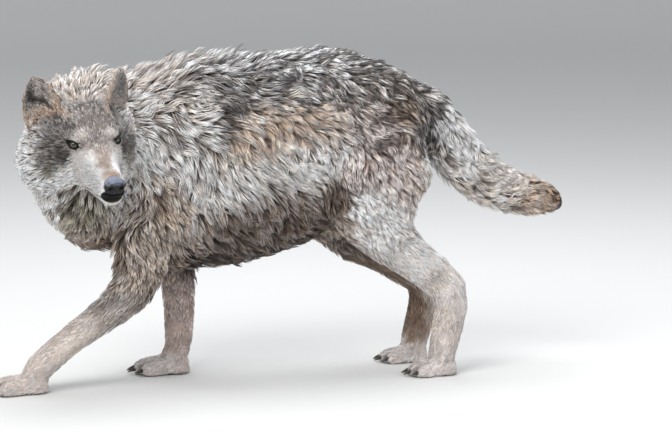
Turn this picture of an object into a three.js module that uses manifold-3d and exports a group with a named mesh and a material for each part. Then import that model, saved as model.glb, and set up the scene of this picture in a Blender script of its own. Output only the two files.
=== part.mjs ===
// A life-size still model of an adult grey wolf in mid-stride, its head turned over its left shoulder.
//
// Frame: millimetres, +Z up, the chest towards -X, the tail towards +X and the wolf's left side
// towards -Y. The origin is the centre of the bounding box's bottom, on the floor under the belly.
// The solids reach out to the tips of the coat. The body is lofted whole, tube by tube, and is then
// parted into named pieces by thin cuts.
import * as THREE from "three";
import { mergeVertices } from "three/addons/utils/BufferGeometryUtils.js";
import Module from "manifold-3d";

const wasm = await Module();
wasm.setup();

// ---------------------------------------------------------------- driving dimensions
const UP = new THREE.Vector3(0, 0, 1);
const FORWARD = new THREE.Vector3(-1, 0, 0);
const GAP = 0.35; // clear space left at every cut, so that neighbours never share a surface
const FORE_PAW = { length: 122, halfWidth: 44, height: 40 };
const HIND_PAW = { length: 108, halfWidth: 37, height: 35 };
const HEAD_CENTRE = new THREE.Vector3(-415, -250, 555); // the point midway between the eyes
const HEAD_TURN = 103; // degrees to the left of straight ahead
const HEAD_DROOP = 12; // degrees, nose below level
const HEAD_TILT = 4.2; // degrees, left eye above right
const EYE = { radius: 11.5, x: -3, y: 45, z: 1 }; // centre in the head's own frame
const NECK_BEND = { x: -312, y: -128, radius: 128 }; // the upright line that the neck curls around

// ---------------------------------------------------------------- stations of the tubes
// Each row is [x, y, z, side, over, under]: the section's centre, its half-width, and its reaches
// towards the dorsal direction and away from it.
const TRUNK = [
  [-392, 0, 470, 40, 70, 60],
  [-372, 0, 475, 84, 135, 130],
  [-335, 0, 480, 116, 190, 195],
  [-285, 0, 482, 132, 206, 228],
  [-223, 0, 482, 140, 217, 243],
  [-160, 0, 486, 144, 229, 248],
  [-98, 0, 492, 142, 219, 246],
  [-42, 0, 500, 134, 217, 240],
  [24, 0, 512, 122, 215, 229],
  [92, 0, 530, 112, 200, 210],
  [159, 0, 545, 114, 191, 195],
  [227, 0, 560, 116, 161, 175],
  [284, 0, 572, 104, 122, 155],
  [325, 0, 578, 80, 88, 118],
  [350, 0, 580, 52, 54, 78],
  [362, 0, 582, 20, 18, 30],
];
const TAIL = [
  [318, 0, 612, 40, 44, 40],
  [348, 0, 592, 44, 56, 46],
  [386, 0, 541, 48, 62, 50],
  [424, 0, 474, 52, 70, 60],
  [468, 0, 436, 54, 64, 60],
  [515, 0, 410, 53, 55, 58],
  [563, 0, 392, 47, 49, 51],
  [615, 0, 380, 38, 41, 41],
  [652, 0, 370, 24, 25, 24],
  [670, 0, 364, 8, 8, 8],
];
const FORELEG_LEFT = [
  [-240, -62, 520, 42, 58, 54],
  [-262, -80, 445, 50, 74, 64],
  [-280, -92, 380, 52, 78, 64],
  [-292, -98, 320, 49, 74, 60],
  [-300, -100, 266, 46, 66, 57],
  [-318, -100, 217, 42, 54, 48],
  [-358, -98, 180, 35, 42, 40],
  [-410, -95, 143, 30, 35, 35],
  [-456, -93, 111, 29, 31, 32],
  [-494, -93, 80, 31, 31, 32],
  [-522, -93, 55, 32, 31, 32],
  [-542, -93, 34, 33, 24, 26],
];
const FORELEG_RIGHT = [
  [-240, 58, 500, 44, 58, 58],
  [-232, 72, 430, 50, 64, 62],
  [-220, 78, 355, 50, 63, 63],
  [-206, 75, 285, 43, 50, 52],
  [-197, 66, 215, 36, 39, 41],
  [-195, 62, 160, 31, 36, 36],
  [-195, 60, 115, 30, 34, 34],
  [-195, 60, 85, 31, 33, 32],
  [-199, 60, 55, 31, 30, 28],
  [-212, 60, 34, 32, 26, 26],
];
const HINDLEG_LEFT = [
  [268, -50, 580, 52, 84, 70],
  [240, -66, 520, 58, 118, 104],
  [218, -74, 466, 58, 140, 138],
  [222, -80, 411, 54, 122, 123],
  [228, -84, 352, 48, 96, 94],
  [258, -85, 303, 41, 60, 60],
  [308, -84, 262, 35, 48, 47],
  [352, -82, 228, 31, 45, 45],
  [390, -81, 190, 29, 42, 42],
  [395, -81, 150, 27, 38, 38],
  [386, -81, 110, 26, 34, 37],
  [379, -82, 75, 27, 33, 34],
  [374, -82, 44, 29, 32, 30],
  [370, -82, 22, 28, 30, 28],
];
const HINDLEG_RIGHT = [
  [262, 50, 580, 52, 84, 70],
  [228, 64, 520, 58, 118, 104],
  [190, 74, 455, 58, 132, 132],
  [178, 80, 395, 54, 118, 120],
  [184, 84, 332, 48, 88, 90],
  [226, 85, 282, 41, 60, 58],
  [284, 83, 250, 35, 48, 47],
  [334, 81, 216, 31, 45, 45],
  [370, 80, 184, 29, 40, 42],
  [374, 80, 145, 27, 37, 38],
  [364, 80, 105, 26, 34, 36],
  [355, 80, 72, 27, 33, 33],
  [349, 80, 44, 29, 31, 30],
  [345, 80, 22, 28, 30, 28],
];
// The head's own frame has its origin between the eyes, X to the nose, Y to the left, Z to the crown.
const HEAD = [
  [124, 0, -64, 12, 10, 16],
  [118, 0, -63, 22, 20, 28],
  [108, 0, -62, 27, 24, 40],
  [96, 0, -62, 30, 28, 45],
  [72, 0, -62, 33, 36, 43],
  [46, 0, -61, 38, 43, 43],
  [26, 0, -57, 46, 51, 48],
  [8, 0, -50, 56, 60, 52],
  [-12, 0, -42, 68, 71, 65],
  [-38, 0, -34, 84, 88, 84],
  [-68, 0, -30, 93, 96, 98],
  [-100, 0, -26, 100, 97, 108],
  [-132, 0, -22, 102, 95, 114],
  [-160, 0, -18, 96, 90, 108],
];
const CHEEK = [
  [4, 40, -64, 14, 22, 22],
  [-22, 56, -62, 26, 44, 46],
  [-56, 78, -58, 34, 66, 66],
  [-90, 98, -54, 38, 76, 80],
  [-122, 104, -48, 36, 72, 80],
  [-148, 96, -42, 26, 52, 60],
];

// The neck's rows are [angle around the bend, z, side, over, under]; 90 degrees is straight ahead.
const NECK = [
  [55, 503, 100, 160, 236],
  [72, 514, 112, 162, 246],
  [90, 525, 121, 163, 246],
  [108, 537, 121, 150, 255],
  [126, 547, 121, 142, 247],
  [144, 554, 120, 136, 234],
  [162, 560, 118, 126, 226],
  [180, 564, 115, 110, 216],
  [193, 566, 104, 92, 186],
];
// The ear's levels are [height up the ear, width, depth of the cup], each a share of the full size.
const EAR = {
  x: -108,
  z: 44,
  lean: 0.26,
  height: 96,
  halfWidth: 46,
  cup: 32,
  wall: 8,
  levels: [
    [-0.3, 0.8, 0.95],
    [0.1, 0.98, 1],
    [0.36, 0.95, 0.84],
    [0.6, 0.8, 0.56],
    [0.8, 0.56, 0.28],
    [0.94, 0.28, 0.1],
    [1, 0.1, 0.03],
  ],
};
const EAR_CUT = 0.3; // share of the ear's height at which it is parted from the head
const EAR_SPREAD = [-1, -0.7, -0.35, 0, 0.35, 0.7, 1]; // places across the ear's wall
// Each ear's sideways root, sideways splay and turn of its opening in degrees, positive to the left.
const LEFT_EAR = { y: 53, splay: 0.4, turn: 36 };
const RIGHT_EAR = { y: -79, splay: -0.26, turn: -10 };
const NOSE = [
  [99, 0, -50, 12, 10, 12],
  [109, 0, -52, 20, 15, 17],
  [120, 0, -55, 24, 18, 20],
  [127, 0, -56, 18, 13, 15],
  [130, 0, -57, 9, 7, 9],
];
// Toes from the outer to the inner one: sideways place and forward reach, as shares of the paw's size.
const TOES = [
  [-1, 0.38],
  [-0.34, 0.5],
  [0.34, 0.5],
  [1, 0.38],
];

// Cuts that part the body: the middle of each cutting box's top, the way that top faces, and the size.
const LEG_CUTS = {
  foreleg_left: [[-400, -95, 282], [0.35, 0, 0.94], [520, 150, 420]],
  foreleg_right: [[-215, 75, 232], [0, 0, 1], [190, 120, 300]],
  hindleg_left: [[285, -85, 364], [-0.3, 0, 0.95], [400, 140, 500]],
  hindleg_right: [[250, 85, 345], [-0.3, 0, 0.95], [400, 140, 500]],
};
const PAW_CUTS = {
  fore_left: [[-515, -93, 62], [0.7, 0, 0.7], [400, 200, 300]],
  fore_right: [[-205, 60, 62], [0.25, 0, 0.97], [400, 200, 300]],
  hind_left: [[375, -82, 62], [0.25, 0, 0.97], [400, 200, 300]],
  hind_right: [[350, 80, 62], [0.25, 0, 0.97], [400, 200, 300]],
};
const NECK_CUT = [[-308, 0, 500], [0.97, 0, -0.25], [900, 900, 700]];
const TAIL_CUT = [[375, 0, 545], [-0.9, 0, 0.44], [900, 900, 900]];
const HEAD_BACK = -140; // the head ends this far behind the eyes
const HEAD_CUT_SIZE = [300, 620, 500];
const EAR_CUT_SIZE = [125, 125, 160];

// ---------------------------------------------------------------- geometry helpers
/** Catmull-Rom through rows of numbers, each gap divided into the given steps. */
function smoothRows(rows, steps) {
  const at = (i) => rows[Math.min(Math.max(i, 0), rows.length - 1)];
  const out = [];
  for (let i = 0; i < rows.length - 1; i++) {
    for (let s = 0; s < steps; s++) {
      const t = s / steps;
      const [before, after] = [at(i - 1), at(i + 2)];
      out.push(
        at(i).map((b, k) => {
          const [a, c, d] = [before[k], at(i + 1)[k], after[k]];
          return b + 0.5 * t * (c - a + t * (2 * a - 5 * b + 4 * c - d + t * (3 * b - a - 3 * c + d)));
        }),
      );
    }
  }
  out.push(at(rows.length - 1));
  return out;
}

/** Sine or cosine bent towards a superellipse, its sign kept. */
const superTrig = (value, power) => Math.sign(value) * Math.abs(value) ** (2 / power);

/** A closed tube through sections, each an outline of Vector2 placed by a matrix whose Z runs along. */
function tube(sections) {
  const sides = sections[0].outline.length;
  const points = sections.flatMap(({ outline, matrix }) =>
    outline.map((p) => new THREE.Vector3(p.x, p.y, 0).applyMatrix4(matrix)),
  );
  const faces = [];
  for (let i = 0; i < sections.length - 1; i++) {
    for (let k = 0; k < sides; k++) {
      const [a, b] = [i * sides + k, i * sides + ((k + 1) % sides)];
      faces.push(a, b, a + sides, b, b + sides, a + sides);
    }
  }
  const last = (sections.length - 1) * sides;
  for (const [a, b, c] of THREE.ShapeUtils.triangulateShape(sections[0].outline, [])) {
    faces.push(a, c, b);
  }
  for (const [a, b, c] of THREE.ShapeUtils.triangulateShape(sections.at(-1).outline, [])) {
    faces.push(last + a, last + b, last + c);
  }
  return new THREE.BufferGeometry().setFromPoints(points).setIndex(faces);
}

/** A tube through rows of [x, y, z, side, over, under]; keel is the roundness of the under half. */
function loft(stations, { sides = 16, steps = 1, dorsal = UP, power = 2.15, keel = power, grow = 0 } = {}) {
  const rows = smoothRows(stations, steps);
  const centres = rows.map(([x, y, z]) => new THREE.Vector3(x, y, z));
  const sections = rows.map(([, , , side, over, under], i) => {
    const [before, after] = [centres[Math.max(i - 1, 0)], centres[Math.min(i + 1, rows.length - 1)]];
    const along = after.clone().sub(before).normalize();
    const across = new THREE.Vector3().crossVectors(dorsal, along).normalize();
    const matrix = new THREE.Matrix4().makeBasis(across, along.clone().cross(across), along);
    const outline = Array.from({ length: sides }, (_, k) => {
      const angle = (2 * Math.PI * (k + 0.5)) / sides;
      const [bend, reach] = Math.sin(angle) > 0 ? [power, over] : [keel, under];
      return new THREE.Vector2(
        superTrig(Math.cos(angle), bend) * (side + grow),
        superTrig(Math.sin(angle), bend) * (reach + grow),
      );
    });
    return { outline, matrix: matrix.setPosition(centres[i]) };
  });
  return tube(sections);
}

/** A three.js geometry as a manifold solid, moved by the matrix. */
function solid(geometry, matrix = new THREE.Matrix4()) {
  const bare = geometry.clone().applyMatrix4(matrix);
  bare.deleteAttribute("normal");
  bare.deleteAttribute("uv");
  const { attributes, index } = mergeVertices(bare, 1e-3);
  const mesh = new wasm.Mesh({
    numProp: 3,
    vertProperties: attributes.position.array,
    triVerts: new Uint32Array(index.array),
  });
  const made = new wasm.Manifold(mesh);
  if (made.volume() <= 0) throw new Error("a surface is inside out");
  return made;
}

/** All the given solids joined. */
const join = (solids) => solids.reduce((sum, next) => sum.add(next));

/** Rows mirrored to the other side of the midline. */
const mirrored = (rows) => rows.map(([x, y, ...rest]) => [x, -y, ...rest]);

/** The largest single body of a solid, without the crumbs that a cut may leave. */
const largest = (made) =>
  made.decompose().reduce((best, next) => (next.volume() > best.volume() ? next : best));

/** A box whose top face has its middle at the point and faces the given way. */
function cutter(point, facing, [width, depth, height], drop = 0) {
  const turn = new THREE.Quaternion().setFromUnitVectors(UP, facing.clone().normalize());
  const offset = new THREE.Vector3(0, 0, -height / 2 - drop).applyQuaternion(turn);
  const matrix = new THREE.Matrix4().compose(point.clone().add(offset), turn, new THREE.Vector3(1, 1, 1));
  return solid(new THREE.BoxGeometry(width, depth, height), matrix);
}

/** Splits a body at a box: what lies inside it, and what lies outside it by more than the gap. */
function carve(body, point, facing, size) {
  const inside = body.intersect(cutter(point, facing, size));
  const outer = size.map((edge) => edge + 2 * GAP);
  return [largest(inside), largest(body.subtract(cutter(point, facing, outer, -GAP)))];
}

// ---------------------------------------------------------------- head
const headMatrix = new THREE.Matrix4()
  .makeRotationFromEuler(
    new THREE.Euler(...[HEAD_TILT, HEAD_DROOP, 180 + HEAD_TURN].map(THREE.MathUtils.degToRad), "ZYX"),
  )
  .setPosition(HEAD_CENTRE);

/** A point of the head's own frame, in the body's frame. */
const onHead = (x, y, z) => new THREE.Vector3(x, y, z).applyMatrix4(headMatrix);

/** The direction from an ear's root to its tip. */
const earLean = ({ splay }) => new THREE.Vector3(EAR.lean, splay, 1).normalize();

/** A point on the ear's middle line, at a share of its height. */
const earAxis = (place, level) =>
  new THREE.Vector3(EAR.x, place.y, EAR.z).addScaledVector(earLean(place), level * EAR.height);

/** An ear: a tall cup, wide low down and pointed at the tip, open to the front. */
function ear(place) {
  const lean = earLean(place);
  const opening = THREE.MathUtils.degToRad(place.turn);
  const across = new THREE.Vector3(-Math.sin(opening), Math.cos(opening), 0);
  across.addScaledVector(lean, -across.dot(lean)).normalize();
  const back = lean.clone().cross(across);
  const sections = EAR.levels.map(([level, width, cup]) => {
    const wall = EAR.wall * (1.25 - 0.5 * level);
    const arc = (share, lift) => (s) =>
      new THREE.Vector2(s * share * width * EAR.halfWidth, -cup * EAR.cup * s * s * share - lift);
    const outline = [...EAR_SPREAD.toReversed().map(arc(1, 0)), ...EAR_SPREAD.map(arc(0.86, wall))];
    const matrix = new THREE.Matrix4().makeBasis(across, back, lean);
    return { outline, matrix: matrix.setPosition(earAxis(place, level)) };
  });
  return solid(tube(sections), headMatrix);
}

/** A tube through rows of the head's own frame. */
const headTube = (rows, options) => solid(loft(rows, options), headMatrix);

const neckRows = NECK.map(([angle, z, side, over, under]) => {
  const turn = THREE.MathUtils.degToRad(angle);
  const [x, y] = [Math.cos(turn), Math.sin(turn)].map((v) => v * NECK_BEND.radius);
  return [NECK_BEND.x + x, NECK_BEND.y + y, z, side, over, under];
});

/** An eyeball, on the left for a side of 1 and on the right for -1. */
function eyeAt(side, grow = 0) {
  const ball = new THREE.SphereGeometry(EYE.radius + grow, 12, 8);
  return solid(ball.translate(EYE.x, side * EYE.y, EYE.z), headMatrix);
}

// ---------------------------------------------------------------- paws
/** A paw and its claws. The heel stands at the point; the toes point forward, turned out by degrees. */
function paw({ length, halfWidth, height }, x, y, turnOut) {
  const place = new THREE.Matrix4()
    .makeRotationZ(THREE.MathUtils.degToRad(180 + turnOut))
    .setPosition(x, y, 0);
  const put = (rows, options) => solid(loft(rows, options), place);
  const mid = 0.62 * height;
  const palm = put(
    [
      [-0.02 * length, 0, mid, 0.5 * halfWidth, 0.2 * height, mid],
      [0.12 * length, 0, mid, 0.78 * halfWidth, 0.4 * height, height],
      [0.55 * length, 0, mid, 0.86 * halfWidth, 0.36 * height, height],
      [0.7 * length, 0, mid, 0.7 * halfWidth, 0.2 * height, 0.8 * height],
    ],
    { sides: 10, power: 2.4 },
  );
  const toes = [];
  const claws = [];
  const clawSockets = [];
  for (const [spread, reach] of TOES) {
    const side = spread * (halfWidth - 0.31 * height);
    const tip = (0.5 + reach) * length;
    toes.push(
      put(
        [
          [0.5 * length, side * 0.76, 0.6 * height, 0.32 * height, 0.36 * height, height],
          [tip - 0.17 * length, side, 0.5 * height, 0.33 * height, 0.36 * height, height],
          [tip - 0.06 * length, side * 1.02, 0.36 * height, 0.27 * height, 0.3 * height, 0.7 * height],
          [tip, side * 1.02, 0.3 * height, 0.13 * height, 0.15 * height, 0.28 * height],
        ],
        { sides: 7 },
      ),
    );
    const claw = [
      [tip - 0.08 * length, side * 1.02, 0.36 * height, 4.4, 5.4, 5],
      [tip + 0.035 * length, side * 1.02, 0.33 * height, 3.6, 4.2, 4.2],
      [tip + 0.115 * length, side * 1.03, 0.14 * height, 0.9, 1, 1],
    ];
    claws.push(put(claw, { sides: 6 }));
    clawSockets.push(put(claw, { sides: 6, grow: GAP }));
  }
  return { body: join([palm, ...toes]), claws, clawSockets };
}

const paws = {
  fore_left: paw(FORE_PAW, -508, -93, 2),
  fore_right: paw(FORE_PAW, -176, 60, -2),
  hind_left: paw(HIND_PAW, 402, -82, 3),
  hind_right: paw(HIND_PAW, 376, 80, -3),
};

// ---------------------------------------------------------------- body
/** A leg's tube, its front side facing forward. */
const leg = (rows, sides) => solid(loft(rows, { sides, dorsal: FORWARD, power: 2.1 }));
const floor = cutter(new THREE.Vector3(0, 0, 0), UP, [3000, 3000, 400]);
const whole = join([
  solid(loft(TRUNK, { sides: 18, power: 2.3, keel: 1.95 })),
  solid(loft(neckRows, { sides: 16, power: 2.2, keel: 2.1 })),
  headTube(HEAD, { sides: 14 }),
  headTube(CHEEK, { sides: 9 }),
  headTube(mirrored(CHEEK), { sides: 9 }),
  leg(FORELEG_LEFT, 14),
  leg(FORELEG_RIGHT, 14),
  leg(HINDLEG_LEFT, 16),
  leg(HINDLEG_RIGHT, 16),
  ...Object.values(paws).map(({ body }) => body),
]).subtract(floor);

// ---------------------------------------------------------------- parting
const at = (...xyz) => new THREE.Vector3(...xyz);
const pieces = {};
const take = (body, name, ...cut) => {
  const [inside, outside] = carve(body, ...cut);
  pieces[name] = inside;
  return outside;
};

let rest = whole;
for (const [name, [point, facing, size]] of Object.entries(LEG_CUTS)) {
  rest = take(rest, name, at(...point), at(...facing), size);
}
for (const [limb, [point, facing, size]] of Object.entries(PAW_CUTS)) {
  const [end, flank] = limb.split("_");
  const legName = `${end}leg_${flank}`;
  const pawName = `${end}paw_${flank}`;
  pieces[legName] = take(pieces[legName], pawName, at(...point), at(...facing), size);
  paws[limb].claws.forEach((claw, i) => {
    pieces[`claw_${limb}_${i + 1}`] = claw;
    pieces[pawName] = pieces[pawName].subtract(paws[limb].clawSockets[i]);
  });
}

const tailTube = (grow) => solid(loft(TAIL, { sides: 14, grow }));
const tailSide = (drop) => cutter(at(...TAIL_CUT[0]), at(...TAIL_CUT[1]), TAIL_CUT[2], drop);
pieces.tail = tailTube(0).intersect(tailSide(0));
rest = rest.add(tailTube(0)).subtract(tailTube(GAP).intersect(tailSide(-GAP)));

pieces.trunk = take(rest, "neck", at(...NECK_CUT[0]), at(...NECK_CUT[1]), NECK_CUT[2]);
const headBack = at(-1, 0, 0).transformDirection(headMatrix);
pieces.neck = take(pieces.neck, "head", onHead(HEAD_BACK, 0, 0), headBack, HEAD_CUT_SIZE);
pieces.head = join([pieces.head, ear(LEFT_EAR), ear(RIGHT_EAR)]);
for (const [name, place] of [["ear_left", LEFT_EAR], ["ear_right", RIGHT_EAR]]) {
  const root = earAxis(place, EAR_CUT).applyMatrix4(headMatrix);
  const down = earLean(place).negate().transformDirection(headMatrix);
  pieces.head = take(pieces.head, name, root, down, EAR_CUT_SIZE);
}
pieces.nose = headTube(NOSE, { sides: 10 });
pieces.head = pieces.head.subtract(headTube(NOSE, { sides: 10, grow: GAP }));
for (const [name, side] of [["eye_left", 1], ["eye_right", -1]]) {
  pieces[name] = eyeAt(side);
  pieces.head = pieces.head.subtract(eyeAt(side, GAP));
}

// ---------------------------------------------------------------- finished group
const COLOURS = {
  head: 0x9d968b,
  neck: 0xb3ab9c,
  trunk: 0x8f8375,
  tail: 0xa08a6c,
  foreleg: 0xc2b3a1,
  hindleg: 0xb9a893,
  forepaw: 0xc9bba9,
  hindpaw: 0xc4b5a2,
  nose: 0x1b1b1f,
  ear: 0xa08f7d,
  eye: 0xb98b34,
  claw: 0x2a2622,
};
const GLOSS = { nose: 0.35, eye: 0.08, claw: 0.4 };
const COAT_ROUGHNESS = 0.9;

/** A manifold solid as a named mesh of the given place in the world. */
function mesh(name, made, shift) {
  const { vertProperties, triVerts, numProp } = made.getMesh();
  const positions = new THREE.InterleavedBuffer(vertProperties, numProp);
  const geometry = new THREE.BufferGeometry();
  geometry.setAttribute("position", new THREE.InterleavedBufferAttribute(positions, 3, 0));
  geometry.setIndex(new THREE.BufferAttribute(triVerts, 1));
  const flat = geometry.toNonIndexed().translate(...shift);
  flat.computeVertexNormals();
  const kind = name.split("_")[0];
  const material = new THREE.MeshStandardMaterial({
    color: COLOURS[kind],
    roughness: GLOSS[kind] ?? COAT_ROUGHNESS,
    metalness: 0,
  });
  const made3d = new THREE.Mesh(flat, material);
  made3d.name = name;
  return made3d;
}

const box = new THREE.Box3();
for (const piece of Object.values(pieces)) {
  const { min, max } = piece.boundingBox();
  box.union(new THREE.Box3(at(...min), at(...max)));
}
const shift = at(-(box.min.x + box.max.x) / 2, -(box.min.y + box.max.y) / 2, -box.min.z);
const wolf = new THREE.Group();
for (const [name, piece] of Object.entries(pieces)) wolf.add(mesh(name, piece, shift));
export default wolf;
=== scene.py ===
"""A life-size still model of an adult grey wolf in mid-stride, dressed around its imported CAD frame.

One skin stands for all the solids of flesh. The coat is solid mesh over it: closed, tapered locks of
hair, gathered in clumps, that follow the lie of a wolf's coat. Skin and coat share one set of markings.
Tables are in millimetres, in the part's drawing frame or in the head's own frame; meshes are in metres.
"""

import logging
import math
from dataclasses import dataclass, field
from enum import Enum

import bmesh
import bpy
import numpy as np
from bmesh.types import BMesh
from bpy.types import ID, Camera, Light, Material, Mesh, Node, NodeSocket, NodeTree, Object
from mathutils import Matrix, Vector
from mathutils.bvhtree import BVHTree
from mathutils.kdtree import KDTree


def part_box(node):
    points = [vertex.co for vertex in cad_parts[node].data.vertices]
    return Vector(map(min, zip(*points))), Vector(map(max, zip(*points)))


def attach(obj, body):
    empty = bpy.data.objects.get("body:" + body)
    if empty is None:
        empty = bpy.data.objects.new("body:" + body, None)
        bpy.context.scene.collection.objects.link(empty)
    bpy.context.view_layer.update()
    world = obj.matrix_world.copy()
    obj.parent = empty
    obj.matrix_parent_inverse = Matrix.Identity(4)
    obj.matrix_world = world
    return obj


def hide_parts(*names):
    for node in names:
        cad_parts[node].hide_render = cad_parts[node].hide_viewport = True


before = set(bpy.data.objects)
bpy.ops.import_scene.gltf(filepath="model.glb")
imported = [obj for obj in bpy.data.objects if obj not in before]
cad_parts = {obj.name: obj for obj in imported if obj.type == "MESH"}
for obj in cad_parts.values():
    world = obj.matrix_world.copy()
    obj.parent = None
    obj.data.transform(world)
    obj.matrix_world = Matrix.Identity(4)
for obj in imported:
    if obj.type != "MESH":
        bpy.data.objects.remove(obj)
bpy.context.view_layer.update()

Array = np.ndarray
Triple = tuple[float, float, float]
LOG = logging.getLogger("wolf")
MM = 0.001
SEED = 20
BAKE_MAP = "OFBake"
PATCH = 0.003  # how wide each lock's patch is on the bake map
CHUNK = 20000  # how many places are blended at once
SOLE_GAP = 0.0004  # how far the skin's soles stand over the floor, in metres
LOCK_GAP = 0.001  # how far the locks stay over it

# ---- driving dimensions, millimetres
HEAD_CENTRE = (-415.0, -250.0, 555.0)  # midway between the eyes, in the drawing frame
HEAD_TURN = 283.0  # degrees about Z from +X to the way the nose points
HEAD_DROOP = 12.0
HEAD_TILT = 4.2
EYE_SET = (-3.0, 45.0, 1.0)  # an eyeball's centre in the head's frame, left side
EYE_RADIUS = 11.5
EYE_GAP = 0.1  # how far the eyeball's skin lies under its solid
NECK_BEND = (-312.0, -128.0, 128.0)  # the upright line that the neck curls around, and its radius


class Part(Enum):
    """The solids of flesh that the one skin stands for."""

    HEAD = "head"
    EAR_LEFT = "ear_left"
    EAR_RIGHT = "ear_right"
    NECK = "neck"
    TRUNK = "trunk"
    TAIL = "tail"
    FORELEG_LEFT = "foreleg_left"
    FORELEG_RIGHT = "foreleg_right"
    HINDLEG_LEFT = "hindleg_left"
    HINDLEG_RIGHT = "hindleg_right"
    FOREPAW_LEFT = "forepaw_left"
    FOREPAW_RIGHT = "forepaw_right"
    HINDPAW_LEFT = "hindpaw_left"
    HINDPAW_RIGHT = "hindpaw_right"


PARTS = list(Part)
EARS, PAWS, LEGS = (
    tuple(part for part in PARTS if word in part.value) for word in ("ear_", "paw_", "leg_")
)


class Slot(Enum):
    """The material slots."""

    HEAD = "coat_head"
    NECK = "coat_neck"
    BODY = "coat_body"
    TAIL = "coat_tail"
    LEG = "coat_leg"
    NOSE = "nose_leather"
    EYE = "eye"
    CLAW = "claw"


class Pigment(Enum):
    """Hair and skin colours, as display values from 0 to 255."""

    WHITE = (250, 249, 249)
    IVORY = (238, 233, 230)
    CREAM = (224, 214, 206)
    SAND = (210, 195, 182)
    BUFF = (212, 190, 172)
    ORANGE = (216, 182, 150)
    RUST = (205, 176, 154)
    TAN = (168, 142, 122)
    ROSE = (220, 204, 199)
    ASH = (186, 182, 181)
    SLATE = (132, 127, 125)
    # OLIVE: greenish grey; on the throat it is painted shade with reflected green light.
    OLIVE = (138, 136, 120)
    UMBER = (98, 80, 68)
    SMOKE = (76, 69, 66)
    CHAR = (48, 43, 41)
    BLACK = (26, 23, 23)

    def rgb(self) -> Array:
        """The colour as display values from 0 to 1."""
        return np.array(self.value, float) / 255.0


WHITE, IVORY, CREAM, SAND, BUFF, ORANGE, RUST, TAN = list(Pigment)[:8]
ROSE, ASH, SLATE, OLIVE, UMBER, SMOKE, CHAR, BLACK = list(Pigment)[8:]


def linear(colour: Array) -> Array:
    """Display values from 0 to 1, turned into linear light."""
    return np.where(colour <= 0.04045, colour / 12.92, ((colour + 0.055) / 1.055) ** 2.4)


def unit(vectors: Array) -> Array:
    """Vectors scaled to length 1."""
    return vectors / np.maximum(np.linalg.norm(vectors, axis=-1, keepdims=True), 1e-12)


def laid_on(ways: Array, normals: Array) -> Array:
    """Vectors without the part of them that stands along the normals."""
    return ways - normals * (ways * normals).sum(-1, keepdims=True)


def mixed(first: Array, second: Array, share: Array | float) -> Array:
    """The first values where the share is 0, the second ones where it is 1, and between."""
    return first * (1.0 - share) + second * share


def ease(low: float, high: float, value: Array) -> Array:
    """A smooth step from 0 at low to 1 at high."""
    share = np.clip((value - low) / (high - low), 0.0, 1.0)
    return share * share * (3.0 - 2.0 * share)


def bell(offset: Array, reach: float) -> Array:
    """A bell curve of 1 at no offset, for distances or vectors."""
    distance = np.linalg.norm(offset, axis=-1) if offset.ndim > 1 else offset
    return np.exp(-((distance / reach) ** 2))


def swell(points: Array, wavelength: float, seed: int, waves: int = 16) -> Array:
    """Smooth noise of about -1 to 1, as a sum of plane waves.

    Args:
        points: places, in any one unit.
        wavelength: the mean length of a wave, in that unit.
        seed: which noise.
        waves: how many plane waves are added.

    Returns:
        One value for each point.
    """
    rng = np.random.default_rng(seed)
    ways = unit(rng.normal(size=(waves, 3)))
    counts = 2.0 * math.pi / (wavelength * rng.uniform(0.6, 1.6, waves))
    shifts = rng.uniform(0.0, 2.0 * math.pi, waves)
    phases = points @ (ways * counts[:, None]).T + shifts
    return np.sin(phases).sum(1) * math.sqrt(2.0 / waves) * 0.6


class Posture:
    """Turns places in the drawing frame and in the head's frame into the model's frame, and back."""

    def __init__(self) -> None:
        """Reads the two eyeballs' places from the frame, which fixes the shift between the frames."""
        turn = Matrix.Rotation(math.radians(HEAD_TURN), 3, "Z")
        droop = Matrix.Rotation(math.radians(HEAD_DROOP), 3, "Y")
        tilt = Matrix.Rotation(math.radians(HEAD_TILT), 3, "X")
        self.axes = np.array(turn @ droop @ tilt)
        corners = [np.array(c) for node in ("eye_left", "eye_right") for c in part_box(node)]
        middle = np.array([EYE_SET[0], 0.0, EYE_SET[2]]) * MM
        self.head_origin = sum(corners) / 4.0 - self.axes @ middle
        self.shift = self.head_origin - np.array(HEAD_CENTRE) * MM

    def body(self, points: Array) -> Array:
        """Places of the drawing frame, in millimetres, as metres in the model's frame."""
        return np.asarray(points, float) * MM + self.shift

    def head(self, points: Array) -> Array:
        """Places of the head's frame, in millimetres, as metres in the model's frame."""
        return (np.asarray(points, float) * MM) @ self.axes.T + self.head_origin

    def head_way(self, ways: Array) -> Array:
        """Directions of the head's frame in the model's frame."""
        return np.asarray(ways, float) @ self.axes.T

    def in_body(self, points: Array) -> Array:
        """Places of the model's frame in the drawing frame, in millimetres."""
        return (points - self.shift) / MM

    def in_head(self, points: Array) -> Array:
        """Places of the model's frame in the head's frame, in millimetres."""
        return (points - self.head_origin) @ self.axes / MM

    def in_head_way(self, ways: Array) -> Array:
        """Directions of the model's frame in the head's frame."""
        return ways @ self.axes


# ---- the lie of the coat
@dataclass(frozen=True)
class Lie:
    """How the coat lies at one place. Lengths are in millimetres.

    length is a lock's, depth is the coat's, width is a lock's at its widest, and cover says how many
    locks lie over each other.
    """

    at: Triple
    toward: Triple
    length: float
    depth: float
    width: float = 2.1
    cover: float = 4.2


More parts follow.
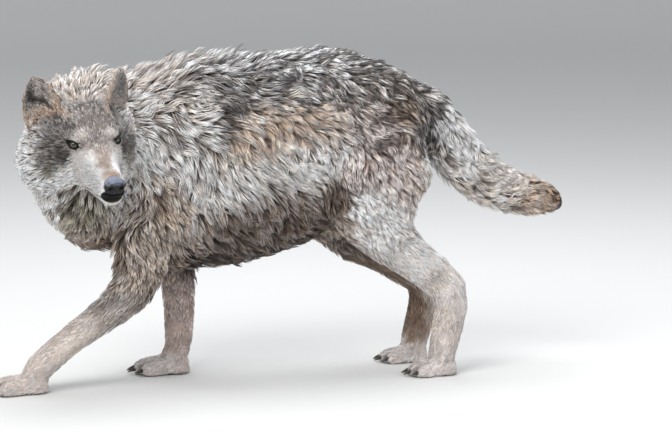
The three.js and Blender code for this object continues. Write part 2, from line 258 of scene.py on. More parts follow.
BODY_LIES = (
    Lie((-320, 40, 690), (1, 0, -0.05), 59, 27),
    Lie((-160, 0, 714), (1, 0, -0.05), 52, 23, cover=4.6),
    Lie((-40, 0, 716), (1, 0, -0.05), 45, 19, cover=4.6),
    Lie((92, 0, 729), (1, 0, -0.08), 41, 17, cover=4.6),
    Lie((200, 0, 716), (1, 0, -0.18), 40, 17, cover=4.6),
    Lie((284, 0, 683), (0.9, 0, -0.45), 41, 17),
    Lie((338, 0, 645), (0.75, 0, -0.65), 43, 17),
    Lie((-170, 118, 630), (0.85, 0.1, -0.45), 54, 23),
    Lie((-39, 102, 645), (0.9, 0.1, -0.4), 47, 20),
    Lie((100, 95, 640), (0.92, 0.1, -0.35), 41, 17),
    Lie((-230, 138, 545), (0.5, 0, -0.85), 59, 27),
    Lie((-112, 140, 500), (0.55, 0, -0.8), 58, 26),
    Lie((22, 122, 500), (0.66, 0, -0.72), 54, 24),
    Lie((-180, 141, 440), (0.3, 0, -0.95), 59, 27),
    Lie((-87, 120, 366), (0.42, 0, -0.9), 61, 28),
    Lie((4, 104, 372), (0.5, 0, -0.86), 58, 25),
    Lie((-120, 40, 246), (0.85, 0.1, -0.5), 47, 22, cover=3.0),
    Lie((0, 29, 273), (0.88, 0.1, -0.45), 43, 20, cover=3.0),
    Lie((90, 40, 335), (0.8, 0.1, -0.55), 40, 16, cover=3.0),
    Lie((113, 111, 512), (0.7, 0, -0.7), 47, 19),
    Lie((120, 108, 430), (0.55, 0, -0.8), 41, 16),
    Lie((201, 114, 554), (0.7, 0, -0.7), 38, 15),
    Lie((271, 104, 595), (0.75, 0, -0.65), 40, 16),
    Lie((336, 68, 568), (0.45, 0, -0.9), 41, 16),
    Lie((165, 124, 480), (0.42, 0, -0.9), 34, 13, 2.2),
    Lie((266, 127, 477), (0.5, 0, -0.86), 36, 14, 2.2),
    Lie((328, 103, 418), (0.35, 0, -0.93), 38, 15, 2.2),
    Lie((176, 129, 403), (0.5, 0, -0.86), 31, 11, 2.2, 3.0),
    Lie((220, 131, 347), (0.62, 0, -0.78), 25, 9, 2.4, 2.8),
    Lie((138, 100, 334), (0.6, 0.2, -0.75), 25, 9, 2.5, 2.8),
    Lie((200, 40, 400), (0.4, 0, -0.9), 25, 9, 2.6, 2.2),
    Lie((-388, 0, 460), (0.1, 0, -1), 52, 24),
    Lie((-340, 110, 400), (0.2, 0, -0.98), 47, 22),
    Lie((-241, 130, 415), (0.35, 0, -0.93), 45, 20),
    Lie((-287, 144, 353), (0.2, 0, -0.98), 32, 13, 2.2),
    Lie((-254, 135, 308), (0.35, 0, -0.93), 31, 12, 2.8),
    Lie((-310, 145, 268), (-0.1, 0, -0.99), 23, 9, 2.5, 3.0),
    Lie((-300, 20, 300), (0.5, 0, -0.86), 43, 20, cover=3.0),
)
HEAD_LIES = (
    Lie((104, 0, -38), (-1, 0, 0.3), 5, 1.4, 0.9, 2.2),
    Lie((84, 0, -28), (-1, 0, 0.25), 6, 1.8, 1.0, 2.4),
    Lie((54, 8, -21), (-1, 0.1, 0.3), 7.5, 2.2, 1.1, 2.6),
    Lie((26, 10, -4), (-0.95, 0.2, 0.4), 8.5, 2.6, 1.1, 2.6),
    Lie((6, 12, 16), (-0.8, 0.2, 0.6), 9.5, 3.2, 1.2, 2.8),
    Lie((-20, 10, 42), (-0.75, 0.15, 0.65), 11, 4, 1.3, 2.8),
    Lie((-60, 14, 64), (-0.9, 0.2, 0.4), 15, 6, 1.5, 3.2),
    Lie((-100, 0, 70), (-1, 0, 0.3), 28, 12, 1.9, 3.8),
    Lie((-135, 0, 72), (-1, 0, 0.45), 44, 19, 2.2, 4.2),
    Lie((6, 42, 20), (-0.5, 0.6, 0.6), 8, 2.6, 1.1, 2.6),
    Lie((-30, 60, 34), (-0.75, 0.45, 0.45), 12.5, 5, 1.4, 3.0),
    Lie((-70, 70, 44), (-0.9, 0.35, 0.3), 16, 7, 1.6, 3.2),
    Lie((18, 38, -22), (-0.6, 0.55, -0.5), 8, 2.6, 1.1, 2.6),
    Lie((0, 60, -30), (-0.75, 0.55, -0.35), 14, 6, 1.4, 3.0),
    Lie((-32, 88, -15), (-0.8, 0.55, -0.2), 22, 10, 1.7, 3.2),
    Lie((-70, 100, 14), (-0.8, 0.55, 0.0), 25, 11, 1.8, 3.4),
    Lie((6, 58, -72), (-0.75, 0.5, -0.45), 16, 7, 1.5, 3.2),
    Lie((-43, 107, -82), (-0.65, 0.6, -0.5), 36, 16, 2.0, 3.8),
    Lie((-95, 132, -50), (-0.6, 0.65, -0.4), 50, 22, 2.2, 4.0),
    Lie((-120, 128, -100), (-0.6, 0.5, -0.6), 56, 23, 2.3, 4.0),
    Lie((-120, 110, 20), (-0.8, 0.55, 0.1), 38, 16, 2.1, 3.8),
    Lie((60, 28, -92), (-0.9, 0.2, -0.35), 8, 3, 1.2, 2.4),
    Lie((100, 10, -98), (-0.8, 0.1, -0.6), 7, 2.2, 1.1, 2.2),
    Lie((10, 20, -112), (-0.85, 0.1, -0.5), 20, 9, 1.7, 3.0),
    Lie((-40, 30, -135), (-0.8, 0.15, -0.55), 40, 15, 2.1, 3.4),
    Lie((-74, 9, -175), (-0.75, 0.1, -0.65), 48, 17, 2.3, 3.6),
    Lie((-110, 70, -160), (-0.6, 0.3, -0.75), 54, 19, 2.3, 3.8),
    Lie((92, 26, -58), (-0.95, 0.25, -0.2), 5, 1.5, 0.9, 2.2),
    Lie((74, 30, -46), (-0.95, 0.25, -0.1), 6, 1.9, 1.0, 2.4),
    Lie((46, 38, -60), (-0.9, 0.35, -0.2), 8.5, 2.8, 1.2, 2.6),
)


@dataclass(frozen=True)
class Limb:
    """A leg's or the tail's middle line, and the coat along it from its first place to its last."""

    line: tuple[Triple, ...]
    depth: tuple[float, ...]
    length: tuple[float, ...] = (22, 9)
    width: tuple[float, float] = (2.0, 1.4)
    cover: float = 0.85

    def lies(self) -> list[Lie]:
        """One lie at each place of the line, with the hair along the line."""
        places = np.array(self.line, float)
        shares = np.linspace(0.0, 1.0, len(places))
        sizes = [
            np.interp(shares, np.linspace(0.0, 1.0, len(row)), row)
            for row in (self.length, self.depth, self.width)
        ]
        ways = unit(np.gradient(places, axis=0))
        return [
            Lie(tuple(place), tuple(way), *row, self.cover)
            for place, way, *row in zip(places, ways, *sizes)
        ]


LIMBS = (
    Limb(
        ((-304, -100, 262), (-322, -100, 214), (-360, -98, 178), (-410, -95, 143), (-456, -93, 111),
         (-494, -93, 80), (-530, -93, 52), (-580, -93, 26), (-620, -93, 6)),
        (8, 5, 3.5, 3, 2.5),
    ),
    Limb(
        ((-206, 75, 285), (-197, 66, 215), (-195, 62, 160), (-195, 60, 115), (-197, 60, 80),
         (-220, 60, 45), (-260, 60, 26), (-290, 60, 6)),
        (8, 5, 3.5, 3, 2.5),
    ),
    Limb(
        ((262, -85, 298), (308, -84, 262), (352, -82, 228), (392, -81, 186), (395, -81, 150),
         (386, -81, 110), (376, -82, 70), (350, -82, 34), (310, -82, 22), (285, -82, 6)),
        (8, 5, 4, 3, 3, 2.5),
    ),
    Limb(
        ((230, 85, 278), (284, 83, 250), (334, 81, 216), (372, 80, 180), (374, 80, 145),
         (364, 80, 105), (352, 80, 66), (328, 80, 34), (290, 80, 22), (262, 80, 6)),
        (8, 5, 4, 3, 3, 2.5),
    ),
    Limb(
        ((352, 0, 590), (386, 0, 541), (424, 0, 474), (468, 0, 436), (515, 0, 410), (563, 0, 392),
         (615, 0, 380), (652, 0, 370), (670, 0, 364)),
        (17, 22, 26, 26, 24, 22, 18, 9, 4), (50, 50, 48, 46, 44, 40, 34, 24, 15), (2.2, 2.0), 4.6,
    ),
)
NECK_TURNS = (100.0, 120.0, 140.0, 160.0, 180.0)  # degrees round the neck's bend, body end first
NECK_RING = 8
NECK_START, NECK_RUN = 90.0, 103.0  # degrees: where the bend leaves the body, and how far it goes


def neck_lies() -> list[Lie]:
    """The lies round the bent neck: back along it to the shoulders, and down its sides."""
    found = []
    pivot_x, pivot_y, radius = NECK_BEND
    for turn in NECK_TURNS:
        share = (turn - NECK_START) / NECK_RUN
        angle = math.radians(turn)
        out = np.array([math.cos(angle), math.sin(angle), 0.0])
        back = np.array([math.sin(angle), -math.cos(angle), 0.0])
        side = 121.0 - 17.0 * share
        over = 163.0 - 71.0 * share
        under = 250.0 - 60.0 * share
        height = 525.0 + 41.0 * share
        for step in range(NECK_RING):
            around = 2.0 * math.pi * step / NECK_RING
            flank, rise = math.cos(around), math.sin(around)
            reach = over if rise > 0 else under
            place = np.array([pivot_x, pivot_y, height]) + out * (radius + side * flank)
            place[2] += reach * rise
            sag = 0.75 * abs(flank) + 0.25
            way = back + out * (0.25 * flank) - np.array([0, 0, sag * (1.0 - max(rise, 0.0))])
            found.append(Lie(tuple(place), tuple(way), 57.0 - 8 * share, 25.0 - 6 * share, 2.1, 4.2))
    return found


def mirrors(at: Triple, paired: bool) -> list[Array]:
    """What a table's row is multiplied by: 1 for itself, and its mirror image if it has one."""
    sides = (1.0, -1.0) if paired and at[1] != 0 else (1.0,)
    return [np.array([1.0, side, 1.0]) for side in sides]


def chunks(count: int) -> list[slice]:
    """Stretches of a long array that are short enough to blend at once."""
    return [slice(low, low + CHUNK) for low in range(0, count, CHUNK)]


class LieField:
    """Blends the table of lies into one smooth field over the whole skin."""

    SHARPNESS = 2.2
    NEAR = 8.0 * MM

    def __init__(self, posture: Posture) -> None:
        """Puts every lie into the model's frame.

        Args:
            posture: the frames of the drawing and the head.
        """
        along_limbs = [row for limb in LIMBS for row in limb.lies()]
        tables = (
            (BODY_LIES, posture.body, np.eye(3), True),
            (HEAD_LIES, posture.head, posture.axes, True),
            (along_limbs + neck_lies(), posture.body, np.eye(3), False),
        )
        places, ways, sizes = [], [], []
        for rows, into, axes, paired in tables:
            for row in rows:
                for mirror in mirrors(row.at, paired):
                    places.append(into(np.array(row.at) * mirror))
                    ways.append(axes @ (unit(np.array(row.toward, float)) * mirror))
                    sizes.append((row.length, row.depth, row.width, row.cover))
        self.places, self.ways, self.sizes = np.array(places), np.array(ways), np.array(sizes)

    def sample(self, points: Array) -> tuple[Array, Array]:
        """The field at some places.

        Args:
            points: places in metres.

        Returns:
            The hair's direction, not yet laid on the skin, and its length, depth, width and cover.
        """
        ways = np.empty((len(points), 3))
        sizes = np.empty((len(points), 4))
        for part in chunks(len(points)):
            gap = ((points[part, None, :] - self.places[None]) ** 2).sum(2) + self.NEAR**2
            weight = gap ** (-self.SHARPNESS)
            weight /= weight.sum(1, keepdims=True)
            ways[part] = weight @ self.ways
            sizes[part] = weight @ self.sizes
        return unit(ways), sizes


# ---- markings
@dataclass(frozen=True)
class Mark:
    """The coat's colours at one place: at a lock's root, along it, at a pale tip and at a dark one.

    dark is the share of clumps with dark tips, and reach is how far the mark is felt along X, Y and Z.
    The root's colour, mostly darker, is partly the hair's own and partly painted shade deep in the coat.
    """

    at: Triple
    root: Pigment
    band: Pigment
    tip: Pigment
    shade: Pigment
    dark: float
    reach: Triple = (60, 60, 60)


BODY_MARKS = (
    Mark((-300, 40, 700), TAN, CREAM, IVORY, SMOKE, 0.3, (70, 60, 40)),
    Mark((-271, 60, 670), TAN, CREAM, IVORY, SMOKE, 0.42, (50, 50, 40)),
    Mark((-236, 112, 625), UMBER, CREAM, IVORY, SMOKE, 0.5, (45, 50, 45)),
    Mark((-262, 140, 530), UMBER, IVORY, WHITE, UMBER, 0.25, (40, 60, 60)),
    Mark((-290, 135, 450), UMBER, SAND, CREAM, UMBER, 0.4, (40, 60, 50)),
    Mark((-189, 140, 540), UMBER, IVORY, WHITE, SLATE, 0.16, (34, 60, 60)),
    Mark((-182, 141, 450), UMBER, IVORY, WHITE, SLATE, 0.16, (34, 60, 60)),
    Mark((-140, 128, 606), UMBER, SLATE, ASH, BLACK, 0.8, (20, 40, 50)),
    Mark((-185, 60, 700), UMBER, IVORY, WHITE, BLACK, 0.5, (50, 60, 40)),
    Mark((-99, 60, 695), UMBER, WHITE, WHITE, BLACK, 0.5, (60, 60, 40)),
    Mark((57, 50, 705), UMBER, WHITE, WHITE, BLACK, 0.5, (80, 60, 40)),
    Mark((180, 40, 715), UMBER, IVORY, WHITE, BLACK, 0.6, (70, 70, 40)),
    Mark((250, 75, 655), UMBER, CREAM, IVORY, BLACK, 0.65, (50, 70, 40)),
    Mark((336, 50, 580), UMBER, ASH, CREAM, BLACK, 0.6, (40, 70, 50)),
    Mark((-39, 105, 645), UMBER, ASH, IVORY, CHAR, 0.46, (70, 50, 34)),
    Mark((80, 100, 645), UMBER, ASH, IVORY, CHAR, 0.5, (60, 50, 34)),
    Mark((-21, 125, 575), TAN, BUFF, WHITE, TAN, 0.22, (50, 50, 34)),
    Mark((-100, 137, 566), TAN, BUFF, IVORY, TAN, 0.3, (34, 50, 40)),
    Mark((60, 112, 590), TAN, BUFF, WHITE, TAN, 0.22, (50, 50, 34)),
    Mark((22, 122, 490), TAN, IVORY, WHITE, TAN, 0.1, (70, 60, 45)),
    Mark((-105, 140, 478), TAN, IVORY, WHITE, UMBER, 0.15, (50, 60, 45)),
    Mark((105, 112, 520), TAN, IVORY, WHITE, UMBER, 0.2, (40, 60, 40)),
    # Lower flank and belly: darker tones as painted shade under the body.
    Mark((-87, 122, 366), SMOKE, UMBER, CREAM, SMOKE, 0.3, (70, 60, 34)),
    Mark((4, 106, 372), SMOKE, UMBER, CREAM, SMOKE, 0.3, (60, 60, 34)),
    Mark((-94, 20, 250), BLACK, SMOKE, TAN, CHAR, 0.45, (90, 60, 30)),
    Mark((10, 20, 276), BLACK, SMOKE, TAN, CHAR, 0.45, (90, 60, 30)),
    Mark((124, 100, 415), CHAR, UMBER, BUFF, SMOKE, 0.55, (26, 50, 50)),
    Mark((201, 115, 560), UMBER, ROSE, WHITE, CHAR, 0.5, (60, 50, 40)),
    Mark((271, 105, 600), UMBER, TAN, ROSE, BLACK, 0.58, (50, 50, 40)),
    Mark((165, 125, 480), TAN, ROSE, WHITE, SMOKE, 0.24, (45, 50, 50)),
    Mark((266, 127, 477), TAN, ROSE, WHITE, UMBER, 0.22, (50, 50, 50)),
    Mark((176, 130, 400), ROSE, WHITE, WHITE, SMOKE, 0.08, (40, 50, 45)),
    Mark((220, 131, 345), ROSE, WHITE, WHITE, TAN, 0.08, (50, 50, 40)),
    Mark((135, 100, 334), UMBER, SAND, CREAM, SMOKE, 0.4, (24, 50, 40)),
    Mark((328, 103, 415), TAN, CREAM, IVORY, TAN, 0.2, (34, 50, 50)),
    # Far hind thigh: darker tones as painted shade.
    Mark((200, 40, 380), SMOKE, UMBER, SAND, SMOKE, 0.35, (60, 30, 60)),
    Mark((-388, 0, 450), UMBER, CREAM, IVORY, SMOKE, 0.2, (50, 70, 70)),
    Mark((-241, 132, 410), UMBER, BUFF, IVORY, UMBER, 0.3, (45, 50, 40)),
    Mark((-287, 145, 350), UMBER, SAND, CREAM, SMOKE, 0.35, (40, 50, 40)),
    Mark((-256, 136, 305), UMBER, SAND, CREAM, UMBER, 0.25, (34, 50, 34)),
    Mark((-310, 145, 268), UMBER, SAND, ROSE, SMOKE, 0.32, (34, 50, 34)),
    # Chest underside between the forelegs: darker tones as painted shade.
    Mark((-300, 20, 300), SMOKE, UMBER, SAND, SMOKE, 0.35, (60, 60, 50)),
)
LEG_MARKS = (
    Mark((-372, -120, 195), TAN, ASH, IVORY, UMBER, 0.3, (44, 60, 44)),
    Mark((-459, -110, 117), ROSE, CREAM, WHITE, TAN, 0.15, (60, 60, 50)),
    Mark((-560, -93, 34), ROSE, CREAM, WHITE, TAN, 0.15, (70, 60, 30)),
    Mark((-201, 60, 180), TAN, ROSE, IVORY, UMBER, 0.25, (40, 60, 60)),
    Mark((-201, 60, 90), TAN, ROSE, IVORY, TAN, 0.2, (40, 60, 50)),
    Mark((-250, 60, 30), ROSE, IVORY, WHITE, TAN, 0.12, (60, 60, 30)),
    Mark((313, -100, 265), SAND, WHITE, WHITE, TAN, 0.1, (50, 60, 40)),
    Mark((400, -85, 195), ROSE, IVORY, WHITE, TAN, 0.1, (40, 60, 60)),
    Mark((355, -85, 215), TAN, IVORY, WHITE, UMBER, 0.25, (26, 60, 30)),
    Mark((378, -85, 100), ROSE, CREAM, WHITE, TAN, 0.12, (40, 60, 50)),
    Mark((335, -82, 26), ROSE, IVORY, WHITE, TAN, 0.1, (60, 60, 30)),
    # Far hind thigh: darker tones as painted shade.
    Mark((284, 83, 250), UMBER, TAN, SAND, SMOKE, 0.4, (50, 60, 40)),
    Mark((385, 80, 175), TAN, IVORY, WHITE, TAN, 0.1, (30, 60, 50)),
    Mark((350, 80, 120), UMBER, TAN, ROSE, UMBER, 0.5, (26, 60, 60)),
    Mark((318, 80, 26), ROSE, IVORY, WHITE, TAN, 0.1, (60, 60, 30)),
    Mark((375, 0, 590), TAN, WHITE, WHITE, BLACK, 0.1, (30, 60, 34)),
    Mark((425, 0, 520), SAND, WHITE, WHITE, CHAR, 0.08, (40, 60, 44)),
    Mark((440, 0, 440), SAND, CREAM, WHITE, UMBER, 0.06, (45, 60, 50)),
    Mark((415, 0, 410), UMBER, SAND, CREAM, UMBER, 0.2, (40, 60, 30)),
    Mark((490, 0, 470), TAN, CREAM, WHITE, SMOKE, 0.12, (50, 60, 20)),
    Mark((510, 0, 400), SAND, CREAM, WHITE, UMBER, 0.06, (46, 60, 44)),
    Mark((570, 0, 395), TAN, BUFF, IVORY, UMBER, 0.05, (44, 60, 44)),
    Mark((612, 0, 382), TAN, ORANGE, IVORY, UMBER, 0.12, (28, 60, 44)),
    Mark((652, 0, 360), SMOKE, UMBER, TAN, CHAR, 0.64, (56, 50, 58)),
)
HEAD_MARKS = (
    Mark((104, 0, -38), TAN, BUFF, ASH, TAN, 0.55, (14, 16, 16)),
    Mark((60, 0, -22), TAN, ASH, BUFF, TAN, 0.64, (26, 12, 14)),
    Mark((34, -6, -14), TAN, ASH, ROSE, UMBER, 0.42, (14, 12, 14)),
    Mark((40, 24, -26), IVORY, WHITE, WHITE, SMOKE, 0.08, (22, 12, 16)),
    Mark((70, 30, -50), WHITE, WHITE, WHITE, SLATE, 0.02, (34, 20, 22)),
    Mark((98, 26, -64), WHITE, WHITE, WHITE, SLATE, 0.02, (18, 18, 22)),
    Mark((22, 0, 4), UMBER, ASH, IVORY, SMOKE, 0.48, (16, 16, 16)),
    Mark((-14, 0, 40), UMBER, ASH, IVORY, CHAR, 0.66, (24, 26, 20)),
    Mark((-50, 0, 64), UMBER, ASH, IVORY, CHAR, 0.6, (24, 40, 18)),
    Mark((20, 33, 9), UMBER, TAN, TAN, UMBER, 0.4, (5, 6, 8)),
    Mark((6, 34, 22), TAN, IVORY, WHITE, SMOKE, 0.15, (10, 11, 9)),
    Mark((-24, 50, 32), SMOKE, SLATE, IVORY, CHAR, 0.5, (22, 20, 18)),
    Mark((-60, 66, 46), SMOKE, SLATE, IVORY, CHAR, 0.46, (24, 24, 20)),
    Mark((22, 42, -26), SAND, WHITE, WHITE, SMOKE, 0.1, (18, 16, 16)),
    Mark((-8, 68, -20), CHAR, SMOKE, SLATE, SMOKE, 0.6, (15, 17, 20)),
    Mark((-34, 88, -22), SMOKE, SLATE, ASH, CHAR, 0.5, (22, 24, 26)),
    Mark((-22, 84, -46), SMOKE, OLIVE, ASH, SMOKE, 0.4, (16, 18, 16)),
    Mark((-60, 92, 20), SMOKE, ASH, IVORY, CHAR, 0.36, (22, 24, 20)),
    Mark((8, 58, -64), SAND, WHITE, WHITE, SLATE, 0.08, (24, 24, 26)),
    Mark((-12, 74, -92), ASH, WHITE, WHITE, SLATE, 0.06, (26, 28, 28)),
    Mark((-43, 107, -84), ASH, WHITE, WHITE, SLATE, 0.06, (34, 34, 30)),
    Mark((-72, 124, -44), ASH, WHITE, WHITE, SLATE, 0.08, (24, 24, 40)),
    Mark((-100, 136, -50), ASH, WHITE, WHITE, SLATE, 0.1, (34, 34, 40)),
    Mark((-110, 112, 20), ASH, IVORY, WHITE, SLATE, 0.12, (34, 34, 30)),
    Mark((-130, 0, 72), TAN, CREAM, IVORY, SLATE, 0.16, (30, 70, 24)),
    Mark((16, 16, -106), TAN, CREAM, IVORY, SLATE, 0.1, (50, 26, 16)),
    # Throat: darker and olive, as painted shade under the head with green light reflected into it.
    Mark((-60, 14, -158), SMOKE, OLIVE, SAND, SMOKE, 0.32, (60, 30, 26)),
    Mark((-70, 62, -140), SLATE, IVORY, WHITE, SLATE, 0.1, (50, 34, 30)),
    Mark((-120, 90, -150), SLATE, IVORY, WHITE, SLATE, 0.1, (44, 50, 44)),
)
NECK_MARKS = (
    Mark((-430, -60, 650), TAN, CREAM, IVORY, SLATE, 0.18, (70, 70, 50)),
    Mark((-400, 60, 560), UMBER, CREAM, IVORY, SMOKE, 0.3, (60, 90, 80)),
    Mark((-330, -90, 560), TAN, IVORY, WHITE, SLATE, 0.18, (40, 50, 70)),
    Mark((-330, -90, 450), UMBER, CREAM, IVORY, UMBER, 0.18, (50, 60, 50)),
    Mark((-400, -60, 420), UMBER, SAND, IVORY, SMOKE, 0.15, (60, 70, 50)),
    # Chest underside: darker tones as painted shade.
    Mark((-360, -20, 340), SMOKE, TAN, SAND, SMOKE, 0.45, (70, 80, 50)),
)
EAR_PALE = Mark((0, 0, 0), SMOKE, ASH, CREAM, SMOKE, 0.24)
# Painted shade inside the ear's cup: the dark tones of its slit and hollow.
EAR_PAINTED_SHADE = Mark((0, 0, 0), BLACK, SMOKE, SLATE, BLACK, 0.5)
EAR_RIM = Mark((0, 0, 0), UMBER, TAN, BUFF, UMBER, 0.3)
EAR_BASE = Mark((0, 0, 0), UMBER, RUST, CREAM, UMBER, 0.2)
EAR_BACK = Mark((0, 0, 0), UMBER, RUST, CREAM, UMBER, 0.3)


def mark_row(mark: Mark) -> Array:
    """A mark's four colours and its dark share as 13 numbers."""
    colours = [shade.rgb() for shade in (mark.root, mark.band, mark.tip, mark.shade)]
    return np.concatenate([*colours, [mark.dark]])


class Markings:
    """Blends the table of marks into one set of colours over the whole animal."""

    RAGGED = 14.0 * MM

    def __init__(self, posture: Posture) -> None:
        """Puts every mark into the model's frame.

        Args:
            posture: the frames of the drawing and the head.
        """
        tables = (
            (BODY_MARKS, posture.body, np.eye(3), True),
            (HEAD_MARKS, posture.head, posture.axes, True),
            (LEG_MARKS + NECK_MARKS, posture.body, np.eye(3), False),
        )
        found = [
            (into(np.array(mark.at) * mirror), axes, np.array(mark.reach) * MM, mark_row(mark))
            for marks, into, axes, paired in tables
            for mark in marks
            for mirror in mirrors(mark.at, paired)
        ]
        self.places, self.frames, self.reaches, self.rows = (np.array(column) for column in zip(*found))

    def sample(self, points: Array, ragged: Array) -> Array:
        """The colours at some places.

        Args:
            points: places in metres.
            ragged: how much the marks' edges wander there, from 0 to 1.

        Returns:
            For each place the colours of root, band, pale tip and dark tip, and the dark share.
        """
        wander = np.stack([swell(points, 0.045, SEED + k) for k in range(3)], 1)
        fine = np.stack([swell(points, 0.016, SEED + 5 + k) for k in range(3)], 1)
        moved = points + (wander + 0.5 * fine) * (self.RAGGED * ragged)[:, None]
        found = np.empty((len(points), self.rows.shape[1]))
        for part in chunks(len(points)):
            offset = moved[part, None, :] - self.places[None]
            turned = np.einsum("pki,kij->pkj", offset, self.frames) / self.reaches[None]
            weight = ((turned**2).sum(2) + 0.08) ** -2.0
            found[part] = (weight @ self.rows) / weight.sum(1, keepdims=True)
        return found


# ---- mesh helpers
def new_object(name: str, data: ID) -> Object:
    """Links a new object that holds a mesh, a lamp or a camera."""
    made = bpy.data.objects.new(name, data)
    bpy.context.scene.collection.objects.link(made)
    return made


def remove_object(made: Object) -> None:
    """Deletes an object and its mesh."""
    mesh = made.data
    bpy.data.objects.remove(made)
    bpy.data.meshes.remove(mesh)


def welded(node: str) -> BMesh:
    """A node's solid with the vertices that lie on each other joined.

    Args:
        node: the node's name.

    Returns:
        The solid, with its normals.
    """
    work = bmesh.new()
    work.from_mesh(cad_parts[node].data)
    bmesh.ops.remove_doubles(work, verts=work.verts, dist=1e-6)
    work.normal_update()
    return work


def mesh_arrays(mesh: Mesh) -> tuple[Array, Array]:
    """A mesh's vertices and its triangles as arrays.

    Args:
        mesh: the mesh.

    Returns:
        The vertices, and three of their numbers for each triangle.
    """
    points = np.empty(len(mesh.vertices) * 3)
    mesh.vertices.foreach_get("co", points)
    mesh.calc_loop_triangles()
    faces = np.empty(len(mesh.loop_triangles) * 3, np.int32)
    mesh.loop_triangles.foreach_get("vertices", faces)
    return points.reshape(-1, 3), faces.reshape(-1, 3)


def mesh_from(name: str, points: Array, faces: list | Array, sizes: Array | None = None) -> Mesh:
    """A smooth-shaded mesh.

    Args:
        name: its name.
        points: its vertices.
        faces: its faces, or the corners of all of them in one row where sizes are given.
        sizes: how many corners each face has.

    Returns:
        The mesh.
    """
    if sizes is None:
        sizes = [len(face) for face in faces]
        faces = np.concatenate(faces)
    mesh = bpy.data.meshes.new(name)
    mesh.vertices.add(len(points))
    mesh.vertices.foreach_set("co", np.asarray(points, np.float32).ravel())
    mesh.loops.add(len(faces))
    mesh.loops.foreach_set("vertex_index", np.asarray(faces, np.int32))
    mesh.polygons.add(len(sizes))
    starts = np.cumsum([0, *sizes[:-1]], dtype=np.int32)
    mesh.polygons.foreach_set("loop_start", starts)
    mesh.polygons.foreach_set("use_smooth", np.ones(len(sizes), bool))
    mesh.update(calc_edges=True)
    return mesh


def band_faces(rows: int, count: int, start: int = 0) -> list[tuple[int, ...]]:
    """Quads between rows of points, where each row closes round.

    Args:
        rows: how many rows there are.
        count: how many points a row has.
        start: the first point's number.

    Returns:
        The faces.
    """
    return [
        (low + j, low + count + j, low + count + (j + 1) % count, low + (j + 1) % count)
        for low in range(start, start + (rows - 1) * count, count)
        for j in range(count)
    ]


def spike_faces(rings: int) -> list[tuple[int, ...]]:
    """Faces of a closed three-sided spike: its foot, the quads between its rings and its tip."""
    top, tip = rings * 3 - 3, rings * 3
    return [(0, 1, 2), *band_faces(rings, 3), *((top + j, tip, top + (j + 1) % 3) for j in range(3))]


def unwrap(made: Object, margin: float = 0.01) -> Object:
    """Unfolds a piece for the bake.

    Args:
        made: the piece.
        margin: the gap between its islands, as a share of the map.

    Returns:
        The same piece.
    """
    made.data.uv_layers.new(name=BAKE_MAP)
    bpy.context.view_layer.objects.active = made
    made.select_set(True)
    bpy.ops.object.mode_set(mode="EDIT")
    bpy.ops.mesh.select_all(action="SELECT")
    bpy.ops.uv.smart_project(angle_limit=math.radians(66.0), island_margin=margin)
    bpy.ops.object.mode_set(mode="OBJECT")
    made.select_set(False)
    return made


def voxel_remeshed(mesh: Mesh, voxel: float) -> Mesh:
    """A closed mesh rebuilt as even quads of one size, its overlapping bodies joined.

    Args:
        mesh: the mesh.
        voxel: the quads' size in metres.

    Returns:
        The new mesh.
    """
    holder = new_object("remesh_work", mesh)
    step = holder.modifiers.new("even", "REMESH")
    step.mode = "VOXEL"
    step.voxel_size = voxel
    graph = bpy.context.evaluated_depsgraph_get()
    made = bpy.data.meshes.new_from_object(holder.evaluated_get(graph))
    remove_object(holder)
    return made


def vertex_normals(points: Array, faces: Array) -> Array:
    """Area-weighted vertex normals of a triangle mesh.

    Args:
        points: its vertices.
        faces: its triangles.

    Returns:
        One normal for each vertex.
    """
    a, b, c = (points[faces[:, k]] for k in range(3))
    flat = np.cross(b - a, c - a)
    total = np.zeros_like(points)
    for k in range(3):
        for axis in range(3):
            total[:, axis] += np.bincount(faces[:, k], flat[:, axis], len(points))
    return unit(total)


class Smoother:
    """Averages values over a mesh's edges."""

    def __init__(self, count: int, faces: Array) -> None:
        """Finds the edges of a triangle mesh.

        Args:
            count: how many vertices there are.
            faces: triangles.
        """
        pairs = np.concatenate([faces[:, [0, 1]], faces[:, [1, 2]], faces[:, [2, 0]]])
        pairs = np.unique(np.sort(pairs, axis=1), axis=0)
        self.ends = np.concatenate([pairs[:, 0], pairs[:, 1]])
        self.starts = np.concatenate([pairs[:, 1], pairs[:, 0]])
        self.count = count
        self.degree = np.maximum(np.bincount(self.ends, minlength=count), 1)

    def mean(self, values: Array) -> Array:
        """Each vertex's mean over its neighbours."""
        total = [
            np.bincount(self.ends, values[self.starts, axis], self.count)
            for axis in range(values.shape[1])
        ]
        return np.stack(total, 1) / self.degree[:, None]

    def relax(self, values: Array, share: Array | float, rounds: int) -> Array:
        """Values moved towards their neighbours' mean, over some rounds."""
        step = np.asarray(share)[..., None] if np.ndim(share) else share
        for _ in range(rounds):
            values = values + (self.mean(values) - values) * step
        return values

    def fair(self, values: Array, inward: object, outward: object, rounds: int) -> Array:
        """Values smoothed and swollen again over some rounds, so that the form keeps its size."""
        for _ in range(rounds):
            values = self.relax(self.relax(values, inward, 1), -outward, 1)
        return values


def set_attribute(mesh: Mesh, name: str, kind: str, values: Array) -> None:
    """Stores one value for each vertex.

    Args:
        mesh: the mesh that gets them.
        name: the attribute's name.
        kind: FLOAT, FLOAT_VECTOR or FLOAT_COLOR.
        values: the values, with three channels for a colour.
    """
    layer = mesh.attributes.new(name, kind, "POINT")
    if kind == "FLOAT_COLOR":
        values = np.concatenate([values, np.ones((len(values), 1))], 1)
    keys = {"FLOAT": "value", "FLOAT_VECTOR": "vector", "FLOAT_COLOR": "color"}
    layer.data.foreach_set(keys[kind], np.ascontiguousarray(values, np.float32).ravel())


